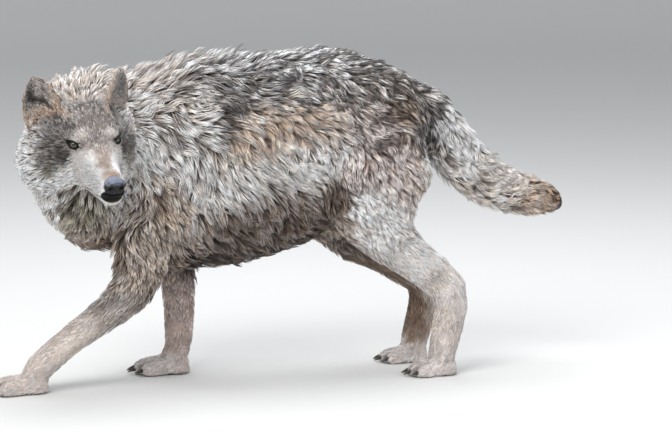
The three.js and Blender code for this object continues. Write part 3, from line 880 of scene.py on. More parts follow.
# ---- the face's own shapes
@dataclass(frozen=True)
class Aperture:
    """The almond opening between an eye's lids, laid on the eyeball. Sizes are in millimetres."""

    centre: Array  # the eyeball's centre, in the head's frame
    side: float  # 1 for the left eye, -1 for the right one
    outward: float = 0.56  # how far the opening faces to the side
    upward: float = 0.24
    slant: float = 17.0  # degrees, outer corner up
    half_width: float = 12.4
    over: float = 4.9
    under: float = 4.5
    lid_radius: float = 12.7

    def axes(self) -> Array:
        """Rows: towards the outer corner, up, and out of the eye, in the head's frame."""
        out = unit(np.array([0.8, self.outward * self.side, self.upward]))
        flat = unit(np.cross(out, np.array([0, 0, 1.0])) * -self.side)
        rise = np.cross(out, flat) * self.side
        lean = math.radians(self.slant)
        corner = flat * math.cos(lean) + rise * math.sin(lean)
        return np.stack([corner, unit(np.cross(out, corner) * self.side), out])

    def edge(self, points: Array) -> tuple[Array, Array, Array]:
        """How far places lie outside the lids' edge, measured over the eyeball.

        Args:
            points: places in the head's frame.

        Returns:
            The distance, under 0 inside the opening, then the place along the corners' line and up.
        """
        local = (points - self.centre) @ self.axes().T
        ways = unit(local)
        angle = np.arccos(np.clip(ways[:, 2], -1.0, 1.0))
        spread = np.maximum(np.hypot(ways[:, 0], ways[:, 1]), 1e-9)
        across = ways[:, 0] / spread * angle * self.lid_radius
        up = ways[:, 1] / spread * angle * self.lid_radius
        found = np.full(len(points), -1e9)
        for height, sign in ((self.over, 1.0), (self.under, -1.0)):
            bow = (self.half_width**2 + height**2) / (2.0 * height)
            found = np.maximum(found, np.hypot(across, up + sign * (bow - height)) - bow)
        return found, across, up


@dataclass(frozen=True)
class Mouth:
    """The closed mouth's line round the muzzle, in the head's frame and millimetres."""

    back: float = 28.0
    depth: float = 2.6
    reach: float = 2.0

    def line(self, along: Array) -> Array:
        """The line's height at places along the muzzle."""
        return np.interp(along, (20, 45, 70, 95, 112, 122), (-82, -79, -80, -82, -83, -81))

    def offset(self, points: Array) -> Array:
        """Each place's height above the mouth's line."""
        return points[:, 2] - self.line(points[:, 0])

    def within(self, points: Array) -> Array:
        """1 on the muzzle's stretch that has a mouth line, fading to 0 behind it."""
        return ease(self.back, self.back + 12.0, points[:, 0]) * (np.abs(points[:, 1]) < 60)


@dataclass(frozen=True)
class EarCup:
    """One ear's place and tilt in the head's frame. Lengths are in millimetres."""

    part: Part
    side: float  # 1 for the left ear, -1 for the right one
    root: Triple
    splay: float
    turn: float  # degrees that the cup's opening faces to the left
    lean: float = 0.26
    height: float = 96.0
    half_width: float = 46.0
    cup: float = 30.0
    shade: float = 1.0  # how strong the painted shade in its slit and hollow is, and how much rust its base shows

    def axes(self) -> Array:
        """Rows: across the ear, towards its back, and up to its tip."""
        lean = unit(np.array([self.lean, self.splay, 1.0]))
        turn = math.radians(self.turn)
        across = np.array([-math.sin(turn), math.cos(turn), 0.0])
        across = unit(across - lean * (across @ lean))
        return np.stack([across, np.cross(lean, across), lean])

    def place(self, head: Array) -> tuple[Array, Array, Array]:
        """Where places lie in the cup.

        Args:
            head: places in the head's frame.

        Returns:
            The share of the ear's height, the share of its half-width, and how far forward.
        """
        local = (head - np.array(self.root)) @ self.axes().T
        level = local[:, 2] / self.height
        width = np.interp(level, (0.1, 0.36, 0.6, 0.8, 0.94, 1.0), (0.98, 0.95, 0.8, 0.56, 0.28, 0.1))
        return level, local[:, 0] / (width * self.half_width), -local[:, 1]

    def wall(self, level: Array, across: Array, forward: Array) -> Array:
        """1 in the cup's wall and at its root, fading to 0 away from it."""
        off = np.abs(forward - self.cup * across**2 - 4.0)
        return ease(-0.3, 0.0, level) * ease(1.35, 1.1, np.abs(across)) * ease(26.0, 15.0, off)


EAR_CUPS = (
    EarCup(Part.EAR_LEFT, 1.0, (-108.0, 53.0, 44.0), 0.4, 36.0, shade=0.3),
    EarCup(Part.EAR_RIGHT, -1.0, (-108.0, -79.0, 44.0), -0.26, -10.0),
)


@dataclass(frozen=True)
class PawPlan:
    """Where a paw's heel stands, how it points and its size. Lengths are in millimetres."""

    place: tuple[float, float]
    turn: float  # degrees
    length: float
    half_width: float
    clefts: tuple[float, ...] = (-0.48, 0.0, 0.48)  # between the toes, as shares of the half-width
    spread: float = 0.1

    def part_toes(self, body: Array) -> Array:
        """1 along the clefts between the toes, fading to 0 over the toes and away from the paw.

        Args:
            body: places in the drawing frame, in millimetres.

        Returns:
            One value for each place.
        """
        angle = math.radians(180.0 + self.turn)
        local = body[:, :2] - np.array(self.place)
        ahead = local @ np.array([math.cos(angle), math.sin(angle)]) / self.length
        aside = local @ np.array([-math.sin(angle), math.cos(angle)]) / self.half_width
        lines = [np.exp(-(((aside - cleft) / self.spread) ** 2)) for cleft in self.clefts]
        own = (np.abs(aside) < 1.4) & (ahead < 1.4)
        return np.max(lines, axis=0) * ease(0.5, 0.74, ahead) * ease(3.0, 8.0, body[:, 2]) * own


PAW_PLANS = (
    PawPlan((-508.0, -93.0), 2.0, 122.0, 44.0),
    PawPlan((-176.0, 60.0), -2.0, 122.0, 44.0),
    PawPlan((402.0, -82.0), 3.0, 108.0, 37.0),
    PawPlan((376.0, 80.0), -3.0, 108.0, 37.0),
)


@dataclass
class Skin:
    """The one skin under the whole coat, with lids, brows, mouth and pads."""

    posture: Posture
    lies: LieField
    markings: Markings
    voxel: float = 0.0054
    cleft_depth: float = 4.2  # millimetres
    swelling: float = 0.0006
    sink_share: float = 0.92  # how much of the coat's depth the skin lies under its outline
    body_rounds: int = 14
    head_rounds: int = 3
    comb_rounds: int = 14
    behind_lids: float = 9.2  # how near the eyeball's centre the skin behind it lies, in millimetres
    mouth: Mouth = field(default_factory=Mouth)
    eyes: tuple[Aperture, ...] = ()
    points: Array | None = None
    faces: Array | None = None

    def __post_init__(self) -> None:
        """Sets the two eyes' openings."""
        x, y, z = EYE_SET
        self.eyes = tuple(Aperture(np.array([x, y * side, z]), side) for side in (1.0, -1.0))

    def build(self) -> Object:
        """Makes the skin and dresses it with its attributes and its unwrap."""
        self.points, self.faces = mesh_arrays(self.rough_body())
        self.name_parts()
        self.round_off()
        self.refine()
        self.sink_under_coat()
        self.shape_face()
        self.shape_toes()
        self.normals = vertex_normals(self.points, self.faces)
        self.colour()
        made = new_object("skin", mesh_from("skin", self.points, self.faces))
        unwrap(made, 0.002)
        corners = np.empty(len(made.data.loops) * 2, np.float32)
        made.data.uv_layers[BAKE_MAP].data.foreach_get("uv", corners)
        self.corner_uv = corners.reshape(-1, 3, 2)
        set_attribute(made.data, "coat_colour", "FLOAT_COLOR", linear(self.shown))
        set_attribute(made.data, "comb", "FLOAT_VECTOR", self.combs)
        set_attribute(made.data, "bare", "FLOAT", self.bare)
        return made

    def rough_body(self) -> Mesh:
        """The flesh and the eyeballs, slightly swollen so that they join, as one even mesh."""
        points, faces = [], []
        for name in [part.value for part in PARTS] + ["eye_left", "eye_right"]:
            work = welded(name)
            faces += [[corner.index + len(points) for corner in face.verts] for face in work.faces]
            points += [vertex.co + vertex.normal * self.swelling for vertex in work.verts]
            work.free()
        mesh = bpy.data.meshes.new("rough_body")
        mesh.from_pydata(points, [], faces)
        return voxel_remeshed(mesh, self.voxel)

    def name_parts(self) -> None:
        """Finds which solid each vertex belongs to."""
        points, faces, owner = [], [], []
        for index, part in enumerate(PARTS):
            own_points, own_faces = mesh_arrays(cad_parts[part.value].data)
            faces.extend((own_faces + len(points)).tolist())
            points.extend(own_points.tolist())
            owner.extend([index] * len(own_faces))
        tree = BVHTree.FromPolygons(points, faces)
        near = [tree.find_nearest(place)[2] for place in self.points.tolist()]
        self.part = np.array(owner)[near]

    def of_parts(self, parts: tuple[Part, ...]) -> Array:
        """1 on the vertices of some parts and 0 elsewhere."""
        return np.isin(self.part, [PARTS.index(part) for part in parts]).astype(float)

    def round_off(self) -> None:
        """Takes the facets and the parting cuts out, gently where the forms are small."""
        mean = Smoother(len(self.points), self.faces)
        small = self.of_parts(EARS + PAWS + LEGS + (Part.HEAD,))
        small = mean.relax(small[:, None], 0.5, 6)[:, 0]
        body = 1.0 - 0.8 * small
        self.points = mean.fair(self.points, 0.6 * body, 0.61 * body, self.body_rounds)
        self.points = mean.fair(self.points, 0.5, 0.5, self.head_rounds)

    def refine(self) -> None:
        """Splits the skin finer on the face, and finest round the eyes and the lips."""
        for reach, eye_reach in ((46.0, 32.0), (0.0, 22.0)):
            head = self.posture.in_head(self.points)
            gap = np.min([np.linalg.norm(head - eye.centre, axis=1) for eye in self.eyes], axis=0)
            muzzle = (head[:, 0] > 126.0 - reach * 2.2) & (reach > 0)
            lips = (head[:, 0] > 20) & (np.abs(self.mouth.offset(head)) < 9) & (reach > 0)
            near = ((gap < eye_reach) | muzzle | lips) & (np.abs(head[:, 1]) < 80)
            near &= self.of_parts((Part.HEAD,)) > 0
            near |= (self.toe_clefts() > 0.02) & (reach > 0)
            mesh = mesh_from("work", self.points, self.faces)
            work = bmesh.new()
            work.from_mesh(mesh)
            layer = work.verts.layers.int.new("part")
            work.verts.ensure_lookup_table()
            for vertex, part in zip(work.verts, self.part.tolist()):
                vertex[layer] = part
            edges = [e for e in work.edges if near[e.verts[0].index] and near[e.verts[1].index]]
            bmesh.ops.subdivide_edges(work, edges=edges, cuts=1, use_grid_fill=True)
            bmesh.ops.triangulate(work, faces=work.faces)
            work.to_mesh(mesh)
            self.part = np.array([vertex[layer] for vertex in work.verts])
            work.free()
            self.points, self.faces = mesh_arrays(mesh)
            bpy.data.meshes.remove(mesh)
            head = self.posture.in_head(self.points)
            fresh = (head[:, 0] > -30) & (self.of_parts((Part.HEAD,)) > 0)
            mean = Smoother(len(self.points), self.faces)
            self.points = mean.fair(self.points, 0.5 * fresh, 0.5 * fresh, 3)

    def near_ears(self) -> Array:
        """1 on the ears and on the thin walls at their roots, fading to 0 on the head."""
        head = self.posture.in_head(self.points)
        found = self.of_parts(EARS)
        for ear in EAR_CUPS:
            found = np.maximum(found, ear.wall(*ear.place(head)))
        return found

    def sink_under_coat(self) -> None:
        """Lays the skin inside the coat by the coat's depth."""
        mean = Smoother(len(self.points), self.faces)
        normals = unit(mean.relax(vertex_normals(self.points, self.faces), 0.6, 8))
        self.ways, self.sizes = self.lies.sample(self.points)
        ears = self.near_ears()
        self.sizes[:, :3] += ears[:, None] * (np.array([11.0, 1.8, 1.5]) - self.sizes[:, :3])
        depth = mean.relax(self.sizes[:, 1:2], 0.5 * (1.0 - ears), 10)[:, 0]
        self.sizes[:, 1] = depth
        sunk = depth * MM * self.sink_share
        low = self.of_parts(PAWS) * (1.0 - ease(4.0, 14.0, self.points[:, 2] / MM))
        sunk *= 1.0 - low
        self.points = self.points - normals * sunk[:, None]
        self.points = mean.relax(self.points, 0.25 * (1.0 - ears), 3)
        self.points[:, 2] = np.maximum(self.points[:, 2], SOLE_GAP)

    def shape_face(self) -> None:
        """Moves the head's vertices into brows, lids, cheeks and the mouth's groove."""
        head = self.posture.in_head(self.points)
        mine = self.of_parts((Part.HEAD,)) > 0
        normals = self.posture.in_head_way(vertex_normals(self.points, self.faces))
        moves = np.zeros(len(head))
        for side in (1.0, -1.0):
            moves += 2.6 * bell(head - np.array([4, 34 * side, 19]), 11.0)
            moves += 2.0 * bell(head - np.array([-14, 52 * side, 12]), 12.0)
            moves -= 2.4 * bell(head - np.array([24, 24 * side, -10]), 12.0)
            moves += 2.2 * bell(head - np.array([14, 46 * side, -22]), 13.0)
        moves -= 1.6 * bell(head - np.array([10, 0, 18]), 13.0)
        inside = self.mouth.within(head) * mine
        drop = self.mouth.offset(head)
        moves -= self.mouth.depth * inside * np.exp(-((drop / self.mouth.reach) ** 2))
        moves += 1.4 * inside * np.exp(-(((drop - 7.0) / 5.0) ** 2))
        head = head + normals * (moves * mine)[:, None]
        self.lid = np.full(len(head), 1e3)
        self.corner = np.zeros(len(head))
        for eye in self.eyes:
            offset = head - eye.centre
            reach = np.linalg.norm(offset, axis=1)
            near = (reach < 30.0) & (offset @ eye.axes()[2] > -4.0) & mine
            edge, across, _up = eye.edge(head)
            lids = eye.lid_radius + 0.12 * np.clip(edge, 0, 6) + 0.35 * np.exp(-((edge - 1.2) ** 2))
            target = mixed(self.behind_lids, lids, ease(-1.1, 0.5, edge))
            blend = 1.0 - ease(3.5, 11.0, edge)
            moved = mixed(np.maximum(reach, eye.lid_radius), target, blend)
            scale = np.where(near, moved / np.maximum(reach, 1e-6), 1.0)
            head = eye.centre + offset * scale[:, None]
            self.lid = np.where(near, np.minimum(self.lid, edge), self.lid)
            self.corner = np.where(near, across, self.corner)
        self.points = self.posture.head(head)
        self.points[:, 2] = np.maximum(self.points[:, 2], SOLE_GAP)

    def toe_clefts(self) -> Array:
        """1 along the clefts between the toes of all the paws."""
        body = self.posture.in_body(self.points)
        found = np.max([plan.part_toes(body) for plan in PAW_PLANS], axis=0)
        return found * self.of_parts(PAWS)

    def shape_toes(self) -> None:
        """Parts the toes with clefts."""
        normals = vertex_normals(self.points, self.faces)
        sunk = self.toe_clefts() * self.cleft_depth * MM
        self.points = self.points - normals * sunk[:, None]

    def colour(self) -> None:
        """Finds the coat's colours, the bare places and the hair's direction at each vertex."""
        head = self.posture.in_head(self.points)
        is_head = self.of_parts((Part.HEAD,)) + self.of_parts(EARS)
        ragged = 1.0 - 0.65 * is_head - 0.4 * self.of_parts(LEGS + PAWS)
        self.tones = self.markings.sample(self.points, ragged)
        self.mark_ears(head)
        # Painted shade: the coat's colours are darkened along the clefts between the toes.
        self.tones[:, :12] *= 1.0 - 0.42 * self.toe_clefts()[:, None]
        self.combs = self.smooth_combs()
        root, band, _tip, shade, dark = np.split(self.tones, (3, 6, 9, 12), axis=1)
        self.shown = mixed(mixed(root, band, 0.65), shade, 0.5 * dark)
        lips = self.mouth.within(head) * self.of_parts((Part.HEAD,))
        drop = self.mouth.offset(head)
        # Black lips, widened at the front down over the chin: real black lip skin and painted shade
        # under the muzzle.
        front = ease(98.0, 114.0, head[:, 0])
        above = ease(2.8 + 16.6 * front, 1.2 + 12.5 * front, drop)
        below = ease(-3.8 - 11.0 * front, -2.0 - 7.5 * front, drop)
        self.lips = lips * above * below
        tear = ease(5.0, 13.0, np.abs(self.corner))
        rims = 1.0 - ease(3.9, 5.3, self.lid - 3.2 * tear)
        nose = bell(head - np.array([112, 0, -58]), 17.0)
        sole = self.of_parts(PAWS) * (1.0 - ease(2.0, 5.0, self.points[:, 2] / MM))
        sole *= ease(0.2, 0.6, -self.normals[:, 2])
        self.bare = np.clip(np.max([self.lips, rims, sole, ease(0.75, 0.95, nose)], axis=0), 0, 1)
        self.shown = mixed(self.shown, BLACK.rgb() * 0.4, self.bare[:, None])

    def smooth_combs(self) -> Array:
        """The hair's direction laid on the skin, carried over places where the lie stands upright."""
        mean = Smoother(len(self.points), self.faces)
        flat = self.ways
        for _ in range(self.comb_rounds):
            flat = mean.relax(laid_on(flat, self.normals), 0.6, 1)
        return unit(laid_on(flat, self.normals))

    def mark_ears(self, head: Array) -> None:
        """Colours each ear and its root by the place in its cup, with painted shade in its slit and
        hollow, and combs them to the tip.
        """
        for ear in EAR_CUPS:
            level, across, forward = ear.place(head)
            facing = -self.posture.in_head_way(self.normals) @ ear.axes()[1]
            own = self.of_parts((ear.part,))
            root = ear.wall(level, across, forward) * ease(-0.3, 0.2, facing)
            share = np.maximum(own, root * (1.0 - self.of_parts(EARS)))[:, None]
            inside = ease(0.1, 0.45, facing)[:, None]
            medial = across * -ear.side
            line = level - (0.2 - 0.15 * medial)
            cleft = level - (0.34 - 0.42 * medial)
            # Painted shade: the slit and the hollow of the cup are darkened, with a light wash over the
            # whole inside, scaled by each ear's shade setting.
            slit = np.exp(-((cleft / 0.08) ** 2)) * ease(-0.8, -0.45, medial) * ease(0.75, 0.45, medial)
            hollow = bell(np.stack([medial + 0.42, (level - 0.6) * 1.6], 1), 0.34)
            painted_ear_shade = np.clip(0.22 + slit + 0.5 * hollow, 0.0, 1.0)[:, None] * ear.shade
            rim = np.maximum(ease(0.72, 0.92, np.abs(across)), ease(0.84, 0.97, level))[:, None]
            front = ease(0.5, 0.8, medial) * ease(0.62, 0.3, level)
            base = np.maximum(ease(0.02, -0.1, line) * ear.shade, front)[:, None]
            tone = mixed(mark_row(EAR_PALE), mark_row(EAR_PAINTED_SHADE), painted_ear_shade)
            tone = mixed(mixed(tone, mark_row(EAR_RIM), rim), mark_row(EAR_BASE), base)
            self.tones = mixed(self.tones, mixed(mark_row(EAR_BACK), tone, inside), share)
            fan = inside[:, 0] * (1.0 - rim[:, 0]) * 0.7
            way = ear.axes()[2] + ear.axes()[0] * (fan * ear.side)[:, None]
            way = self.posture.head_way(unit(way))
            self.ways = unit(mixed(self.ways, way, share))
            hairy = fan * ease(-0.2, 0.3, medial) * share[:, 0]
            self.sizes[:, 0] += hairy * 12.0
            self.sizes[:, 3] += share[:, 0] * 0.6


WHISKER_ROWS = 4
WHISKERS_PER_ROW = 5


def whisker_root(row: int, step: int, side: float) -> Array:
    """Where one whisker grows, in the head's frame and millimetres."""
    return np.array([102.0 - 8.5 * step, 30.0 * side, -50.0 - 6.5 * row - 0.8 * step])


def whisker_dots(head: Array) -> Array:
    """1 on the small dark dots that the whiskers grow from, seen from the side, and 0 elsewhere.

    Args:
        head: places in the head's frame.

    Returns:
        One value for each place.
    """
    found = np.zeros(len(head))
    muzzle = head[:, 0] > 55.0
    for row in range(WHISKER_ROWS):
        for step in range(WHISKERS_PER_ROW):
            spot = whisker_root(row, step, 1.0)
            gap = np.hypot(head[:, 0] - spot[0] + 1.5, head[:, 2] - spot[2])
            found = np.maximum(found, ease(2.0, 1.0, gap) * muzzle)
    return found


# ---- the coat
@dataclass
class Roots:
    """Where locks grow, with what each takes from the skin there. Lengths are in metres."""

    place: Array
    normal: Array
    way: Array
    length: Array
    depth: Array
    width: Array
    tones: Array
    part: Array
    uv: Array
    wild: Array  # 0 for the short flat coat, 1 for the long shaggy one

    def pick(self, chosen: Array) -> "Roots":
        """Some of the roots."""
        return Roots(**{name: value[chosen] for name, value in vars(self).items()})


@dataclass
class Coat:
    """The whole coat of locks, parted into pieces that each stay well under 200,000 triangles."""

    skin: Skin
    posture: Posture
    most_locks: int = 15000
    short: float = 0.013  # locks shorter than this are made with one ring fewer
    clump_share: float = 0.17
    lean_share: float = 0.68  # long locks made with one ring fewer too
    pull: float = 0.86
    rooted: float = 0.0015  # how deep a lock starts under the skin
    lift_power: float = 1.7
    shoulder_end: float = -150.0  # where the shoulder's piece ends along the body, in millimetres
    flank_end: float = 120.0
    face_end: float = -24.0  # where the face's piece ends along the head
    rng: np.random.Generator = field(default_factory=lambda: np.random.default_rng(SEED))

    def build(self) -> list[Object]:
        """Grows the locks and makes the pieces of coat."""
        self.tree = BVHTree.FromPolygons(self.skin.points.tolist(), self.skin.faces.tolist())
        self.face_normal = unit(self.skin.normals[self.skin.faces].mean(1))
        ways = self.skin.combs[self.skin.faces].mean(1)
        self.face_way = unit(laid_on(ways, self.face_normal))
        roots = self.scatter()
        LOG.info("coat roots: %d", len(roots.place))
        clumps = roots.pick(self.rng.random(len(roots.place)) < self.clump_share)
        self.grow_paths(roots, clumps)
        made = []
        names = self.piece_names(roots)
        for name in sorted(set(names)):
            chosen = np.flatnonzero(names == name)
            count = math.ceil(len(chosen) / self.most_locks)
            for index in range(count):
                label = name if count == 1 else f"{name}_{index + 1}"
                made.append(self.make_piece(label, roots, chosen[index::count]))
        return made

    def scatter(self) -> Roots:
        """Draws the roots over the skin, as thickly as the coat's cover asks."""
        skin, faces = self.skin, self.skin.faces
        a, b, c = (skin.points[faces[:, k]] for k in range(3))
        area = np.linalg.norm(np.cross(b - a, c - a), axis=1) / 2.0
        sizes = skin.sizes.copy()
        sizes[:, :3] *= MM
        thick = sizes[:, 3] / (0.6 * sizes[:, 0] * sizes[:, 2])
        haired = 1.0 - ease(0.25, 0.5, skin.bare)
        haired *= ease(3.2, 4.2, skin.lid)
        haired *= 1.0 - skin.of_parts(PAWS) * (1.0 - ease(3.0, 7.0, skin.points[:, 2] / MM))
        thick *= haired
        total = np.cumsum(area * thick[faces].mean(1))
        count = int(total[-1])
        marks = (np.arange(count) + self.rng.random(count)) / count * total[-1]
        face = np.minimum(np.searchsorted(total, marks), len(faces) - 1)
        first = np.sqrt(self.rng.random(count))
        second = self.rng.random(count)
        share = np.stack([1 - first, first * (1 - second), first * second], 1)

        def blend(values: Array) -> Array:
            """Vertex values at the roots."""
            return np.einsum("nk,nk...->n...", share, values[faces[face]])

        normal = unit(blend(skin.normals))
        way = unit(laid_on(blend(skin.combs), normal))
        size = blend(sizes)
        nearest = faces[face, share.argmax(1)]
        uv = np.einsum("nk,nkj->nj", share, skin.corner_uv[face])
        wild = ease(0.016, 0.04, size[:, 0])
        return Roots(
            blend(skin.points), normal, way, size[:, 0], size[:, 1], size[:, 2],
            blend(skin.tones), skin.part[nearest], uv, wild,
        )

    def walk(self, roots: Roots, twist: Array, steps: int) -> tuple[list, list, list]:
        """Follows the lie of the coat over the skin from each root.

        Args:
            roots: where to start, with the lengths to walk.
            twist: how far each lock is turned off the lie, in radians.
            steps: how many steps make up the length.

        Returns:
            Lists of places on the skin, normals and directions, one more than the steps.
        """
        place, normal = roots.place, roots.normal
        way = self.turned(roots.way, normal, twist)
        places, normals, ways = [place], [normal], [way]
        for _ in range(steps):
            ahead = place + way * (roots.length / steps)[:, None]
            hits = [self.tree.find_nearest(spot) for spot in ahead.tolist()]
            place = np.array([hit[0] for hit in hits])
            face = np.array([hit[2] for hit in hits])
            fresh = unit(0.5 * normal + self.face_normal[face])
            lie = self.turned(self.face_way[face], fresh, twist)
            way = unit(laid_on(0.6 * way + 0.4 * lie, fresh))
            normal = fresh
            places.append(place)
            normals.append(normal)
            ways.append(way)
        return places, normals, ways

    @staticmethod
    def turned(way: Array, normal: Array, angle: Array) -> Array:
        """Directions turned about normals."""
        side = np.cross(normal, way)
        return unit(way * np.cos(angle)[:, None] + side * np.sin(angle)[:, None])

    def grow_paths(self, roots: Roots, clumps: Roots) -> None:
        """Finds every lock's course and look, with clumps drawn together at their tips.

        Args:
            roots: where the locks grow; their lengths are varied here.
            clumps: the roots that the clumps are gathered round.
        """
        count, groups = len(roots.place), len(clumps.place)
        lookup = KDTree(groups)
        for index, spot in enumerate((clumps.place + clumps.normal * 0.004).tolist()):
            lookup.insert(spot, index)
        lookup.balance()
        spots = (roots.place + roots.normal * 0.004).tolist()
        self.group = np.array([lookup.find(spot)[1] for spot in spots])
        rng = self.rng
        drift = 0.42 * swell(clumps.place, 0.11, SEED + 11) + 0.3 * swell(clumps.place, 0.04, SEED + 12)
        drift = drift * (0.25 + 0.75 * clumps.wild) + rng.normal(0, 0.13 + 0.1 * clumps.wild)
        clumps.length *= rng.uniform(0.8, 1.22, groups)
        stray = (rng.random(groups) < 0.1) * clumps.wild
        rise = clumps.depth * (rng.uniform(0.55, 1.0, groups) + 0.3 * stray)
        crest = ease(0.6, 0.69, clumps.place[:, 2]) * ease(-0.02, -0.16, clumps.place[:, 0])
        rise *= 1.0 + crest * rng.uniform(0.0, 1.1, groups) ** 2
        clump_path = self.course(clumps, drift, rise, np.zeros(groups))
        own = self.group
        twist = drift[own] + rng.normal(0, 0.1 + 0.06 * roots.wild)
        roots.length = mixed(roots.length, clumps.length[own], 0.55)
        roots.length *= rng.uniform(0.82, 1.12, count)
        height = rise[own] * rng.uniform(0.75, 1.1, count)
        wave = rng.normal(0, 0.035, count) * roots.wild
        path = self.course(roots, twist, height, wave)
        gap = np.linalg.norm(roots.place - clumps.place[own], axis=1)
        near = 1.0 - ease(0.25, 0.6, gap / np.maximum(roots.length, 1e-6))
        pull = self.pull * (0.45 + 0.55 * roots.wild) * near
        marks = np.linspace(0.0, 1.0, 4)
        self.path = [
            spot + (clump_path[0][k][own] - spot) * (pull * marks[k] ** 1.3)[:, None]
            for k, spot in enumerate(path[0])
        ]
        self.rise = path[1]
        self.paint(roots, clumps)

    def course(
        self, roots: Roots, twist: Array, rise: Array, wave: Array
    ) -> tuple[list[Array], list[Array]]:
        """Four places along each lock, from its root to its tip, and the normals there.

        Args:
            roots: the locks.
            twist: each lock's turn off the lie of the coat.
            rise: how high each tip stands over the skin.
            wave: how far each lock bows to the side, as a share of its length.

        Returns:
            The places and the normals, four of each.
        """
        places, normals, ways = self.walk(roots, twist, 3)
        found = []
        for k, mark in enumerate(np.linspace(0.0, 1.0, 4)):
            height = rise * (1.0 - (1.0 - mark) ** self.lift_power)
            bow = wave * roots.length * math.sin(math.pi * 1.4 * mark)
            spot = places[k] + normals[k] * height[:, None]
            spot = spot + np.cross(normals[k], ways[k]) * bow[:, None]
            spot[:, 2] = np.maximum(spot[:, 2], LOCK_GAP)
            found.append(spot)
        found[0] = roots.place - roots.normal * self.rooted
        return found, normals

    def paint(self, roots: Roots, clumps: Roots) -> None:
        """Finds each lock's colours at its four places: root, band, upper length and tip; the root is
        darkened as painted shade.

        Args:
            roots: where the locks grow.
            clumps: the roots that the clumps are gathered round.
        """
        rng, own, tones = self.rng, self.group, roots.tones
        count, groups = len(roots.place), len(clumps.place)
        cloud = swell(clumps.place, 0.03, SEED + 21) * clumps.wild
        cloud += swell(clumps.place, 0.012, SEED + 22) * (0.5 - 0.3 * clumps.wild)
        score = 0.5 + 0.24 * cloud[own] + 0.34 * (rng.random(groups)[own] - 0.5)
        score += 0.36 * (rng.random(count) - 0.5)
        dark = ease(-0.12, 0.12, tones[:, 12] - score)
        dark = np.maximum(dark, whisker_dots(self.posture.in_head(roots.place)))[:, None]
        jitter = rng.normal(0, 0.08, groups)[own] + rng.normal(0, 0.1, count)
        light = np.exp(jitter * (0.5 + 0.5 * roots.wild)) * (1.0 + 0.05 * roots.wild)
        light *= np.exp(0.08 * swell(roots.place, 0.06, SEED + 23))
        warm = 1.0 + rng.normal(0, 0.012, (groups, 1))[own] * np.array([[1.0, 0.2, -1.0]])
        # Painted shade: roots are darkened further, most in the long coat, so the gaps between locks
        # read dark.
        base = tones[:, 0:3] * (0.94 - 0.25 * roots.wild)[:, None]
        band, tip, shade = (tones[:, k : k + 3] for k in (3, 6, 9))
        upper, end = mixed(band, shade, 0.55 * dark), mixed(tip, shade, 0.92 * dark)
        stages = [base, mixed(base, band, 0.58), upper, end]
        self.colours = [np.clip(stage * warm * light[:, None], 0.0, 1.0) for stage in stages]

    def piece_names(self, roots: Roots) -> Array:
        """The name of the piece of coat that each root belongs to.

        Args:
            roots: where the locks grow.

        Returns:
            The names.
        """
        body = self.posture.in_body(roots.place)
        along = self.posture.in_head(roots.place)[:, 0]
        side = np.where(body[:, 1] < 0, "_left", "_right").astype(object)
        bounds = [body[:, 0] < self.shoulder_end, body[:, 0] < self.flank_end]
        stretch = np.select(bounds, ["coat_shoulder", "coat_flank"], "coat_haunch").astype(object)
        own = [
            "coat_ears" if part in EARS else "coat_" + part.value.replace("paw", "leg")
            for part in PARTS
        ]
        names = np.array(own, object)[roots.part]
        for part, label in (
            (Part.TRUNK, stretch + side),
            (Part.NECK, "coat_mane" + side),
            (Part.HEAD, np.where(along > self.face_end, "coat_face", "coat_ruff")),
        ):
            names = np.where(roots.part == PARTS.index(part), label, names)
        return names

    def make_piece(self, name: str, roots: Roots, chosen: Array) -> Object:
        """Makes one piece of coat from some of the locks.

        Args:
            name: the piece's name.
            roots: all the roots.
            chosen: which locks it holds.

        Returns:
            The piece, with its colours, its lie and its bake map.
        """
        brief = roots.length[chosen] < self.short
        lean = ~brief & (self.rng.random(len(chosen)) < self.lean_share)
        kinds = ((brief, (0, 1, 3)), (lean, (0, 2, 3)), (~brief & ~lean, (0, 1, 2, 3)))
        blocks = [self.lock_block(roots, chosen[kind], marks) for kind, marks in kinds if kind.any()]
        starts = np.cumsum([0] + [len(block[0]) for block in blocks])
        loops = np.concatenate([block[1] + start for block, start in zip(blocks, starts)])
        points, sizes, colours, courses, patches = (
            np.concatenate([block[column] for block in blocks]) for column in (0, 2, 3, 4, 5)
        )
        mesh = mesh_from(name, points, loops, sizes)
        set_attribute(mesh, "coat_colour", "FLOAT_COLOR", linear(colours))
        set_attribute(mesh, "comb", "FLOAT_VECTOR", courses)
        layer = mesh.uv_layers.new(name=BAKE_MAP)
        layer.data.foreach_set("uv", patches[loops].astype(np.float32).ravel())
        return new_object(name, mesh)

